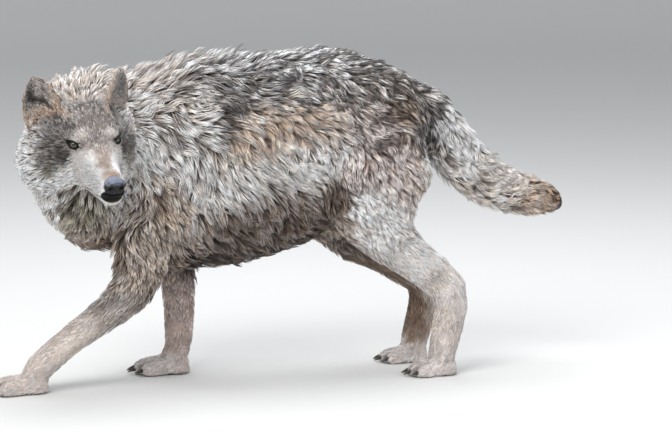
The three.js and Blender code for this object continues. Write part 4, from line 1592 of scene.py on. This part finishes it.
    def lock_block(self, roots: Roots, chosen: Array, marks: tuple[int, ...]) -> tuple:
        """Closed three-sided locks with rings at some of the four places and a point at the tip.

        Args:
            roots: all the roots.
            chosen: which locks.
            marks: which of the four places are used; the last one is the tip.

        Returns:
            Vertices, loops, loops per face, colours, directions and places on the bake map.
        """
        rings = len(marks) - 1
        per_lock = rings * 3 + 1
        count = len(chosen)
        spots = np.stack([self.path[k][chosen] for k in marks], 1)
        rises = np.stack([self.rise[k][chosen] for k in marks], 1)
        run = unit(np.gradient(spots, axis=1))
        rises = unit(laid_on(rises, run))
        across = np.cross(run, rises)
        widths = (0.7, 1.0, 0.72, 0.0) if 1 in marks else (0.9, 1.0, 0.9, 0.0)
        wide = np.interp(np.array(marks) / 3.0, (0, 0.34, 0.67, 1), widths)
        wide = wide[None, :, None] * roots.width[chosen][:, None, None]
        ring = np.stack(
            [
                spots + across * wide * 0.5 - rises * wide * 0.12,
                spots + rises * wide * 0.4,
                spots - across * wide * 0.5 - rises * wide * 0.12,
            ],
            2,
        )
        points = np.empty((count, per_lock, 3))
        points[:, :-1] = ring[:, :-1].reshape(count, rings * 3, 3)
        points[:, -1] = spots[:, -1]
        faces = spike_faces(rings)
        sizes = np.tile([len(face) for face in faces], count)
        loops = (np.arange(count)[:, None] * per_lock + np.concatenate(faces)[None]).ravel()
        tones = np.stack([self.colours[k][chosen] for k in marks], 1)
        level = np.repeat(np.arange(rings), 3).tolist() + [rings]
        colours = tones[:, level].reshape(-1, 3)
        courses = run[:, level].reshape(-1, 3)
        offset = np.array(
            [[(j - 1) * 0.5, marks[k] / 3.0 - 0.5] for k in range(rings) for j in range(3)] + [[0, 0.5]]
        )
        patches = roots.uv[chosen][:, None, :] + offset[None] * PATCH
        return points.reshape(-1, 3), loops, sizes, colours, courses, patches.reshape(-1, 2)


# ---- finishes
class Nodes:
    """Adds shader nodes to one tree and feeds their inputs."""

    def __init__(self, tree: NodeTree) -> None:
        """Takes the tree to fill."""
        self.tree = tree

    def feed(self, socket: NodeSocket, value: object) -> None:
        """Gives an input its value, from another node's output or as a constant."""
        if isinstance(value, NodeSocket):
            self.tree.links.new(value, socket)
        elif value is not None:
            socket.default_value = value

    def set(self, node: Node, **values: object) -> None:
        """Feeds a node's inputs, which are named with underscores for spaces."""
        for name, value in values.items():
            self.feed(node.inputs[name.replace("_", " ")], value)

    def add(self, kind: str, **values: object) -> Node:
        """A new node.

        Args:
            kind: the node's type, without its ShaderNode prefix.
            values: properties of the node, or with a leading underscore the inputs they feed.

        Returns:
            The node.
        """
        made = self.tree.nodes.new(f"ShaderNode{kind}")
        for name, value in values.items():
            if name.startswith("_"):
                self.set(made, **{name[1:]: value})
            else:
                setattr(made, name, value)
        return made

    def chain(self, kind: str, *fed: object, **values: object) -> Node:
        """A new node with its first inputs fed in their order, and with properties set."""
        made = self.add(kind, **values)
        for socket, value in zip(made.inputs, fed):
            self.feed(socket, value)
        return made

    def attribute(self, name: str, output: str) -> NodeSocket:
        """One output of a mesh attribute."""
        return self.add("Attribute", attribute_name=name).outputs[output]

    def math(self, kind: str, first: object, second: object = 0.0) -> NodeSocket:
        """The result of a Math node."""
        return self.chain("Math", first, second, operation=kind).outputs[0]

    def vector(self, kind: str, first: object, second: object = None) -> NodeSocket:
        """The result of a Vector Math node."""
        return self.chain("VectorMath", first, second, operation=kind).outputs["Vector"]

    def scaled(self, vector: NodeSocket, factor: object) -> NodeSocket:
        """A vector or a colour times a number."""
        return self.add("VectorMath", operation="SCALE", _Vector=vector, _Scale=factor).outputs[0]

    def span(self, value: NodeSocket, *ends: float) -> NodeSocket:
        """A Map Range from ends 0 and 1 to ends 2 and 3."""
        return self.chain("MapRange", value, *ends).outputs[0]

    def mix(self, share: object, first: object, second: object) -> NodeSocket:
        """A mixture of two colours."""
        made = self.add("Mix", data_type="RGBA")
        for index, value in ((0, share), (6, first), (7, second)):
            self.feed(made.inputs[index], value)
        return made.outputs[2]

    def bump(self, height: object, strength: float, distance: float) -> NodeSocket:
        """The normal that a height gives."""
        return self.add("Bump", _Height=height, _Strength=strength, _Distance=distance).outputs[0]


def new_group(name: str, outputs: tuple[str, ...], **inputs: object) -> tuple:
    """A shader node group whose outputs are values.

    Args:
        name: the group's name.
        outputs: each output's name.
        inputs: each input's default value, by name, as a number or a vector.

    Returns:
        The group, its helper for nodes, the sockets of its inputs and its output node.
    """
    tree = bpy.data.node_groups.new(name, "ShaderNodeTree")
    for label, value in inputs.items():
        kind = "NodeSocketVector" if isinstance(value, tuple) else "NodeSocketFloat"
        tree.interface.new_socket(label, in_out="INPUT", socket_type=kind).default_value = value
    for label in outputs:
        tree.interface.new_socket(label, in_out="OUTPUT", socket_type="NodeSocketFloat")
    given = tree.nodes.new("NodeGroupInput").outputs
    return tree, Nodes(tree), given, tree.nodes.new("NodeGroupOutput")


class Effects:
    """The shader node groups that several finishes share."""

    def __init__(self) -> None:
        """Builds the groups once."""
        self.strands = self.make_strands()
        self.pebbles = self.make_pebbles()

    @staticmethod
    def make_strands() -> NodeTree:
        """Fine hairs along the lie of the coat: a tint for the colour and a height for the bump."""
        tree, nodes, given, out = new_group(
            "hair strands", ("Tint", "Height"),
            Lie=(1.0, 0.0, 0.0), Fineness=900.0, Contrast=0.3, Stretch=0.92,
        )
        lie, place = given["Lie"], nodes.add("TexCoord").outputs["Object"]
        scaled = nodes.scaled(place, given["Fineness"])
        along = nodes.chain("VectorMath", scaled, lie, operation="DOT_PRODUCT").outputs["Value"]
        back = nodes.scaled(lie, nodes.math("MULTIPLY", along, given["Stretch"]))
        drawn = nodes.vector("SUBTRACT", scaled, back)
        noise = nodes.add("TexNoise", _Vector=drawn, _Scale=1.0, _Detail=2.0, _Roughness=0.6)
        height = nodes.span(noise.outputs["Fac"], 0.3, 0.7, 0.0, 1.0)
        swing = nodes.math("MULTIPLY", nodes.math("SUBTRACT", height, 0.5), given["Contrast"])
        nodes.set(out, Height=height, Tint=nodes.math("ADD", swing, 1.0))
        return tree

    @staticmethod
    def make_pebbles() -> NodeTree:
        """The pebbled grain of bare skin, as a height."""
        tree, nodes, given, out = new_group("pebbled leather", ("Height",), Fineness=700.0)
        place = nodes.add("TexCoord").outputs["Object"]
        cells = nodes.add(
            "TexVoronoi", feature="SMOOTH_F1", _Vector=place, _Scale=given["Fineness"], _Smoothness=0.4
        )
        nodes.set(out, Height=nodes.span(cells.outputs["Distance"], 0.1, 0.8, 1.0, 0.0))
        return tree

    def hair(self, nodes: Nodes, fineness: float, contrast: float) -> list[NodeSocket]:
        """The tint and the height of fine hairs along a mesh's own lie."""
        lie = nodes.attribute("comb", "Vector")
        made = nodes.add(
            "Group", node_tree=self.strands, _Lie=lie, _Fineness=fineness, _Contrast=contrast
        )
        return list(made.outputs)

    def grain(self, nodes: Nodes, fineness: float) -> NodeSocket:
        """The height of bare skin's grain."""
        return nodes.add("Group", node_tree=self.pebbles, _Fineness=fineness).outputs[0]


@dataclass(frozen=True)
class Finish:
    """A material by its name; each kind says what feeds the inputs of its Principled BSDF."""

    name: str

    def make(self, effects: Effects) -> Material:
        """Builds the material.

        Args:
            effects: the groups that the finishes share.

        Returns:
            The material.
        """
        made = bpy.data.materials.new(self.name)
        made.use_nodes = True
        nodes = Nodes(made.node_tree)
        nodes.set(made.node_tree.nodes["Principled BSDF"], **self.inputs(nodes, effects))
        return made

    def inputs(self, nodes: Nodes, effects: Effects) -> dict[str, object]:
        """What feeds each input, which is named with underscores for spaces."""
        raise NotImplementedError


@dataclass(frozen=True)
class FurFinish(Finish):
    """Hair: the painted markings broken up by fine strands along the lie of the coat."""

    fineness: float = 1500.0
    contrast: float = 0.5
    rough: float = 0.55
    bump: float = 0.35

    def inputs(self, nodes: Nodes, effects: Effects) -> dict[str, object]:
        """What feeds each input."""
        tint, height = effects.hair(nodes, self.fineness, self.contrast)
        return {
            "Base_Color": nodes.scaled(nodes.attribute("coat_colour", "Color"), tint),
            "Roughness": nodes.span(height, 0, 1, self.rough + 0.1, self.rough - 0.1),
            "Normal": nodes.bump(height, self.bump, 0.0006),
            "Specular_IOR_Level": 0.35,
        }


@dataclass(frozen=True)
class SkinFinish(Finish):
    """The skin: short flat hair over most of it, and dark pebbled leather where it is bare."""

    name: str = "skin_under_coat"

    def inputs(self, nodes: Nodes, effects: Effects) -> dict[str, object]:
        """What feeds each input."""
        colour = nodes.attribute("coat_colour", "Color")
        bare = nodes.attribute("bare", "Fac")
        tint, height = effects.hair(nodes, 700.0, 0.5)
        strand_part = nodes.math("MULTIPLY", height, nodes.span(bare, 0, 1, 1, 0))
        grain_part = nodes.math("MULTIPLY", effects.grain(nodes, 900.0), nodes.span(bare, 0, 1, 0, 0.22))
        return {
            "Base_Color": nodes.mix(bare, nodes.scaled(colour, tint), colour),
            "Roughness": nodes.span(bare, 0, 1, 0.65, 0.5),
            "Normal": nodes.bump(nodes.math("ADD", strand_part, grain_part), 0.5, 0.0006),
            "Specular_IOR_Level": 0.15,
        }


@dataclass(frozen=True)
class NoseFinish(Finish):
    """Moist black nose leather, with a painted bluish sheen on its upper side: a painted reflection of
    the sky.
    """

    name: str = "nose_leather"

    def inputs(self, nodes: Nodes, effects: Effects) -> dict[str, object]:
        """What feeds each input."""
        grain = effects.grain(nodes, 620.0)
        bloom = nodes.attribute("bloom", "Fac")
        # Painted reflection: the bluish tone on the upper side stands in for the sky's sheen.
        share = nodes.math("MULTIPLY", bloom, nodes.span(grain, 0, 1, 0.6, 1.0))
        return {
            "Base_Color": nodes.mix(share, (0.007, 0.007, 0.008, 1.0), (0.23, 0.26, 0.34, 1.0)),
            "Roughness": nodes.span(grain, 0, 1, 0.46, 0.34),
            "Normal": nodes.bump(grain, 0.6, 0.0005),
            "Specular_IOR_Level": 0.3,
        }


@dataclass(frozen=True)
class EyeFinish(Finish):
    """An amber eye: black pupil, streaked iris, dark rim and brown white, under a wet coat."""

    name: str = "eye_glass"
    pupil: float = 0.27
    iris: float = 0.62

    def inputs(self, nodes: Nodes, _effects: Effects) -> dict[str, object]:
        """What feeds each input."""
        flat = nodes.vector("MULTIPLY", nodes.attribute("gaze", "Vector"), (1.0, 1.0, 0.0))
        radius = nodes.chain("VectorMath", flat, operation="LENGTH").outputs["Value"]
        around = nodes.vector("NORMALIZE", flat)
        streaks = nodes.add("TexNoise", _Vector=around, _Scale=9.0, _Detail=4.0, _Roughness=0.7)
        ramp = nodes.chain("ValToRGB", radius)
        stops = (
            (0.0, (0.003, 0.003, 0.003)),
            (self.pupil - 0.015, (0.003, 0.003, 0.003)),
            (self.pupil + 0.015, (0.045, 0.035, 0.020)),
            (self.pupil + 0.12, (0.115, 0.095, 0.052)),
            (self.iris - 0.16, (0.085, 0.068, 0.036)),
            (self.iris - 0.06, (0.024, 0.018, 0.010)),
            (self.iris + 0.02, (0.007, 0.006, 0.005)),
            (self.iris + 0.12, (0.020, 0.013, 0.010)),
            (1.0, (0.04, 0.028, 0.02)),
        )
        for index, (spot, tone) in enumerate(stops):
            stop = ramp.color_ramp.elements[index] if index < 2 else ramp.color_ramp.elements.new(spot)
            stop.position, stop.color = spot, (*tone, 1.0)
        glow = nodes.span(streaks.outputs["Fac"], 0.3, 0.7, 0.65, 1.3)
        return {
            "Base_Color": nodes.scaled(ramp.outputs["Color"], glow),
            "Roughness": 0.12,
            "Coat_Weight": 0.3,
            "Coat_Roughness": 0.02,
        }


@dataclass(frozen=True)
class ClawFinish(Finish):
    """Dark horn, streaked along its length and paler where it is worn."""

    name: str = "claw_horn"

    def inputs(self, nodes: Nodes, effects: Effects) -> dict[str, object]:
        """What feeds each input."""
        worn = nodes.attribute("worn", "Fac")
        tint, height = effects.hair(nodes, 1600.0, 0.5)
        base = nodes.mix(worn, (0.018, 0.015, 0.013, 1.0), (0.11, 0.085, 0.06, 1.0))
        return {
            "Base_Color": nodes.scaled(base, tint),
            "Roughness": nodes.span(height, 0, 1, 0.42, 0.3),
            "Normal": nodes.bump(height, 0.25, 0.0004),
        }


@dataclass(frozen=True)
class FloorFinish(Finish):
    """The studio's pale matt floor."""

    name: str = "studio_floor"

    def inputs(self, nodes: Nodes, _effects: Effects) -> dict[str, object]:
        """What feeds each input."""
        noise = nodes.add("TexNoise", _Scale=3.0, _Detail=3.0)
        tone = nodes.span(noise.outputs["Fac"], 0.3, 0.7, 0.0, 1.0)
        return {
            "Base_Color": nodes.mix(tone, (0.70, 0.70, 0.69, 1.0), (0.74, 0.74, 0.73, 1.0)),
            "Roughness": 0.85,
        }


# ---- eyes, nose, claws, whiskers
@dataclass
class Eyeball:
    """One eyeball with a bulging cornea, turned to where the wolf looks."""

    node: str
    side: float
    posture: Posture
    rings: int = 40
    sectors: int = 64
    ahead: Triple = (0.84, 0.42, 0.16)  # where a left eye looks at rest, in the head's frame
    watched: Triple = (0.849, -0.394, 0.352)  # towards the viewer
    attention: float = 0.72
    bulge: float = 0.045  # how far the cornea stands out, as a share of the radius

    def build(self) -> Object:
        """Makes the eyeball in its socket."""
        low, high = (np.array(corner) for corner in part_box(self.node))
        centre = (low + high) / 2.0
        rest = unit(np.array(self.ahead) * np.array([1.0, self.side, 1.0]))
        out = self.posture.head_way(unit(mixed(rest, unit(np.array(self.watched)), self.attention)))
        flat = unit(np.cross(out, np.array([0.0, 0.0, 1.0])))
        axes = np.stack([flat, np.cross(flat, out), out])
        polar, turn = np.meshgrid(
            np.linspace(0.0, math.pi, self.rings + 1)[1:-1],
            np.linspace(0.0, 2 * math.pi, self.sectors, endpoint=False),
            indexing="ij",
        )
        ring = np.sin(polar)
        ways = np.stack([ring * np.cos(turn), ring * np.sin(turn), np.cos(polar)], 2).reshape(-1, 3)
        ways = np.concatenate([[[0, 0, 1.0]], ways, [[0, 0, -1.0]]])
        cornea = ease(0.62, 0.1, np.hypot(ways[:, 0], ways[:, 1])) * (ways[:, 2] > 0)
        radius = (EYE_RADIUS - EYE_GAP) * MM * (1.0 + self.bulge * cornea)
        points = (ways * radius[:, None]) @ axes + centre
        foot, last = 1 + (self.rings - 2) * self.sectors, 1 + (self.rings - 1) * self.sectors
        faces = band_faces(self.rings - 1, self.sectors, start=1)
        for j in range(self.sectors):
            after = (j + 1) % self.sectors
            faces += [(0, 1 + j, 1 + after), (foot + j, last, foot + after)]
        mesh = mesh_from(self.node, points, faces)
        set_attribute(mesh, "gaze", "FLOAT_VECTOR", ways)
        return unwrap(new_object(self.node.replace("eye", "eyeball"), mesh))


@dataclass
class NosePad:
    """The nose leather: a rounded pad with comma-shaped nostrils and a groove under them."""

    posture: Posture
    voxel: float = 0.0011
    nostril: Triple = (130.0, 10.5, -58.0)

    def build(self) -> Object:
        """Makes the pad from its solid and opens the nostrils."""
        work = welded("nose")
        mesh = bpy.data.meshes.new("nose_work")
        work.to_mesh(mesh)
        work.free()
        points, faces = mesh_arrays(voxel_remeshed(mesh, self.voxel))
        points = Smoother(len(points), faces).fair(points, 0.55, 0.56, 14)
        normals = vertex_normals(points, faces)
        head = self.posture.in_head(points)
        inward = np.zeros(len(head))
        x, y, z = self.nostril
        for side in (1.0, -1.0):
            offset = (head - np.array([x, y * side, z])) / np.array([12.0, 5.2, 4.4])
            inward += 6.0 * np.exp(-((offset**2).sum(1) ** 1.5))
            for step in range(7):
                share = step / 6.0
                spot = np.array([x - 2 - 10 * share, (y + 3 + 9 * share) * side, z - 1 - 2 * share])
                inward += (2.4 - 1.4 * share) * bell(head - spot, 2.6)
        front = ease(112, 122, head[:, 0])
        groove = np.exp(-((head[:, 1] / 1.3) ** 2)) * ease(-56.0, -62.0, head[:, 2]) * front
        inward += 1.8 * groove
        inward -= 0.9 + 1.3 * bell(head - np.array([118, 0, -42]), 14.0)
        points = points - normals * (inward * MM)[:, None]
        mesh = mesh_from("nose_pad", points, faces)
        # Painted highlight: the upward-facing side, outside the nostrils, gets a bluish painted
        # reflection of the sky.
        bloom = ease(-0.2, 0.6, normals[:, 2]) * np.exp(-np.clip(inward, 0, 9) * 0.8)
        set_attribute(mesh, "bloom", "FLOAT", bloom)
        return unwrap(new_object("nose_pad", mesh))


@dataclass
class Claws:
    """Sixteen curved claws of horn, each over its own solid."""

    rings: int = 12
    sectors: int = 12
    least: float = 0.0003  # half the tip's width

    def build(self) -> list[tuple[Object, str]]:
        """Makes every claw, with the name of the node it replaces."""
        names = sorted(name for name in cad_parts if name.startswith("claw_"))
        return [(self.claw(name), name) for name in names]

    def claw(self, node: str) -> Object:
        """One claw, from its root in the toe down to its tip.

        Args:
            node: the solid it replaces.

        Returns:
            The claw.
        """
        low, high = (np.array(corner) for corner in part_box(node))
        middle = (low + high) / 2.0
        run, drop = high[0] - low[0], high[2] - low[2]
        points, combs, worn = [], [], []
        for k in range(self.rings + 1):
            share = k / self.rings
            x = high[0] - run * share
            z = high[2] - drop * (0.42 + 0.46 * share**2.2)
            tall = drop * 0.40 * (1.0 - share) ** 0.6 + self.least
            wide = (high[1] - low[1]) * 0.5 * (1.0 - share) ** 0.62 + self.least
            for j in range(self.sectors):
                turn = 2 * math.pi * j / self.sectors
                points.append((x, middle[1] + wide * math.cos(turn), z + tall * math.sin(turn)))
                combs.append((-1.0, 0.0, -share))
                worn.append(share**3)
        last = self.rings * self.sectors
        faces = [range(self.sectors), *band_faces(self.rings + 1, self.sectors)]
        faces.append(range(last + self.sectors - 1, last - 1, -1))
        mesh = mesh_from(node, points, faces)
        set_attribute(mesh, "comb", "FLOAT_VECTOR", unit(np.array(combs)))
        set_attribute(mesh, "worn", "FLOAT", np.array(worn))
        return unwrap(new_object(node.replace("claw", "horn_claw"), mesh))


@dataclass
class Whiskers:
    """Stiff tapered bristles on both sides of the muzzle."""

    posture: Posture
    tree: BVHTree
    rings: int = 7
    thickness: float = 0.00035
    bend: float = 0.35

    def build(self) -> Object:
        """Makes all the whiskers as one piece."""
        rng = np.random.default_rng(SEED + 40)
        points, tones = [], []
        for side in (1.0, -1.0):
            for row in range(WHISKER_ROWS):
                for step in range(WHISKERS_PER_ROW):
                    root = whisker_root(row, step, side)
                    way = unit(np.array([-0.75 - 0.1 * step, 0.85 * side, -0.12 - 0.12 * row]))
                    length = (14.0 + 6.0 * step) * rng.uniform(0.8, 1.15)
                    sway = np.array([-0.5, 0.1 * side, rng.uniform(-0.5, 0.1)])
                    points += self.bristle(root, way, sway, length)
                    tone = IVORY if rng.random() < 0.5 else CHAR
                    tones += [linear(tone.rgb())] * (self.rings * 3 + 1)
        faces = [
            np.array(face) + first
            for first in range(0, len(points), self.rings * 3 + 1)
            for face in spike_faces(self.rings)
        ]
        mesh = mesh_from("whiskers", points, faces)
        set_attribute(mesh, "coat_colour", "FLOAT_COLOR", np.array(tones))
        lie = np.tile(self.posture.head_way(np.array([-1.0, 0.0, 0.0])), (len(points), 1))
        set_attribute(mesh, "comb", "FLOAT_VECTOR", lie)
        return unwrap(new_object("whiskers", mesh))

    def bristle(self, root: Array, way: Array, sway: Array, length: float) -> list[Array]:
        """One bristle's points, ring by ring and then its tip.

        Args:
            root: where it grows, in the head's frame.
            way: where it points at first.
            sway: where it bends to.
            length: in millimetres.

        Returns:
            The points.
        """
        spot = np.array(self.tree.find_nearest(Vector(self.posture.head(root)))[0])
        ahead, bend = self.posture.head_way(way), self.posture.head_way(sway) * self.bend
        across = unit(np.cross(ahead, self.posture.head_way(np.array([0.0, 0.0, 1.0]))))
        lift = np.cross(across, ahead)
        points = []
        for share in np.arange(self.rings) / self.rings:
            centre = spot + (ahead * share + bend * share**2) * length * MM
            for turn in 2 * math.pi * np.arange(3) / 3:
                rim = across * math.cos(turn) + lift * math.sin(turn)
                points.append(centre + rim * self.thickness * (1.0 - share))
        return [*points, spot + (ahead + bend) * length * MM]


# ---- studio
def stand(data: Camera | Light, place: Vector, aim: Vector) -> Object:
    """Puts a camera or a lamp at a place, looking along the aim.

    Args:
        data: the camera or the lamp.
        place: where it stands.
        aim: the way it looks.

    Returns:
        Its object.
    """
    made = new_object(data.name, data)
    made.location = place
    made.rotation_mode = "QUATERNION"
    made.rotation_quaternion = aim.to_track_quat("-Z", "Y")
    return made


@dataclass(frozen=True)
class Lamp:
    """One soft square lamp that is aimed at the wolf."""

    name: str
    place: Triple  # metres
    size: float
    power: float  # watts
    tone: Triple

    def build(self) -> None:
        """Makes the lamp."""
        data = bpy.data.lights.new(self.name, "AREA")
        data.size, data.energy, data.color = self.size, self.power, self.tone
        stand(data, Vector(self.place), Vector((0.0, 0.0, 0.4)) - Vector(self.place))


LAMPS = (
    Lamp("key", (-2.4, -2.8, 3.6), 2.6, 165.0, (1.0, 0.995, 0.985)),
    Lamp("fill", (3.2, -3.0, 1.8), 3.0, 40.0, (0.95, 0.97, 1.0)),
    Lamp("top", (0.4, 0.8, 3.8), 3.0, 110.0, (0.97, 0.98, 1.0)),
)


@dataclass
class Studio:
    """The pale floor that curves up behind, the soft lights and the camera."""

    posture: Posture
    effects: Effects
    target: Triple = (150.0, 0.0, 351.0)  # what the camera looks at
    distance: float = 6.0
    azimuth: float = -12.0
    elevation: float = 8.0
    lens: float = 144.64

    def build(self) -> None:
        """Makes the floor, the lights, the surroundings and the camera."""
        self.floor()
        self.camera()
        for lamp in LAMPS:
            lamp.build()
        world = bpy.data.worlds.new("studio")
        world.use_nodes = True
        shade = world.node_tree.nodes["Background"]
        shade.inputs["Color"].default_value = (0.93, 0.96, 1.0, 1.0)
        shade.inputs["Strength"].default_value = 0.55
        scene = bpy.context.scene
        scene.world = world
        scene.view_settings.view_transform = "Standard"

    def floor(self) -> None:
        """A sheet that runs flat under the wolf and curves up behind it."""
        length = np.linspace(0.0, 1.0, 60)
        run = np.where(length < 0.6, -9.0 + 18.0 * length / 0.6, 9.0)
        bend = np.clip((length - 0.6) / 0.2, 0.0, 1.0) * math.pi / 2
        run = run + 3.0 * np.sin(bend)
        rise = 3.0 * (1.0 - np.cos(bend)) + np.clip(length - 0.8, 0, 1) * 30.0
        points = [(x, y, z) for y, z in zip(run, rise) for x in (-14.0, 14.0)]
        faces = [(k, k + 1, k + 3, k + 2) for k in range(0, len(points) - 2, 2)]
        sheet = new_object("studio_floor", mesh_from("studio_floor", points, faces))
        sheet.data.materials.append(FloorFinish().make(self.effects))

    def camera(self) -> None:
        """The camera, at the chosen angle to the wolf's left flank."""
        turn, rise = math.radians(self.azimuth), math.radians(self.elevation)
        back = Vector(
            (math.sin(turn) * math.cos(rise), -math.cos(turn) * math.cos(rise), math.sin(rise))
        )
        data = bpy.data.cameras.new("camera")
        data.lens, data.sensor_width = self.lens, 36.0
        place = Vector(self.posture.body(np.array(self.target))) + back * self.distance
        bpy.context.scene.camera = stand(data, place, -back)


# ---- assembly
FUR_FINISHES = {
    Slot.HEAD: FurFinish("coat_head", fineness=1800.0),
    Slot.NECK: FurFinish("coat_neck", contrast=0.55),
    Slot.BODY: FurFinish("coat_body", contrast=0.55),
    Slot.TAIL: FurFinish("coat_tail"),
    Slot.LEG: FurFinish("coat_leg", contrast=0.45),
}


def slot_of(name: str) -> Slot:
    """The slot a piece of coat takes its finish from, by its name.

    Args:
        name: the piece's name.

    Returns:
        The slot.
    """
    table = (
        (("face", "ruff", "ears"), Slot.HEAD),
        (("mane",), Slot.NECK),
        (("tail",), Slot.TAIL),
        (("foreleg", "hindleg"), Slot.LEG),
    )
    for words, slot in table:
        if any(word in name for word in words):
            return slot
    return Slot.BODY


def add_piece(made: Object, finish: Material) -> None:
    """Gives a piece its finish and its body, and reports it.

    Args:
        made: the piece.
        finish: its material.
    """
    made.data.materials.append(finish)
    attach(made, "root")
    LOG.info("%s: %d faces", made.name, len(made.data.polygons))


def main() -> None:
    """Builds the wolf, piece by piece, and the studio round it."""
    logging.basicConfig(level=logging.INFO, format="%(name)s: %(message)s")
    posture = Posture()
    effects = Effects()
    Studio(posture, effects).build()
    skin = Skin(posture, LieField(posture), Markings(posture))
    hide = skin.build()
    add_piece(hide, SkinFinish().make(effects))
    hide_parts(*[part.value for part in PARTS])

    furs = {slot: finish.make(effects) for slot, finish in FUR_FINISHES.items()}
    coat = Coat(skin, posture)
    for piece in coat.build():
        slot = slot_of(piece.name)
        add_piece(piece, furs[slot])
    add_piece(Whiskers(posture, coat.tree).build(), furs[Slot.HEAD])

    eye_finish = EyeFinish().make(effects)
    for node, side in (("eye_left", 1.0), ("eye_right", -1.0)):
        ball = Eyeball(node, side, posture).build()
        add_piece(ball, eye_finish)
        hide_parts(node)
    nose = NosePad(posture).build()
    add_piece(nose, NoseFinish().make(effects))
    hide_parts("nose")
    horn = ClawFinish().make(effects)
    for claw, node in Claws().build():
        add_piece(claw, horn)
        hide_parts(node)


if __name__ == "__main__":
    main()
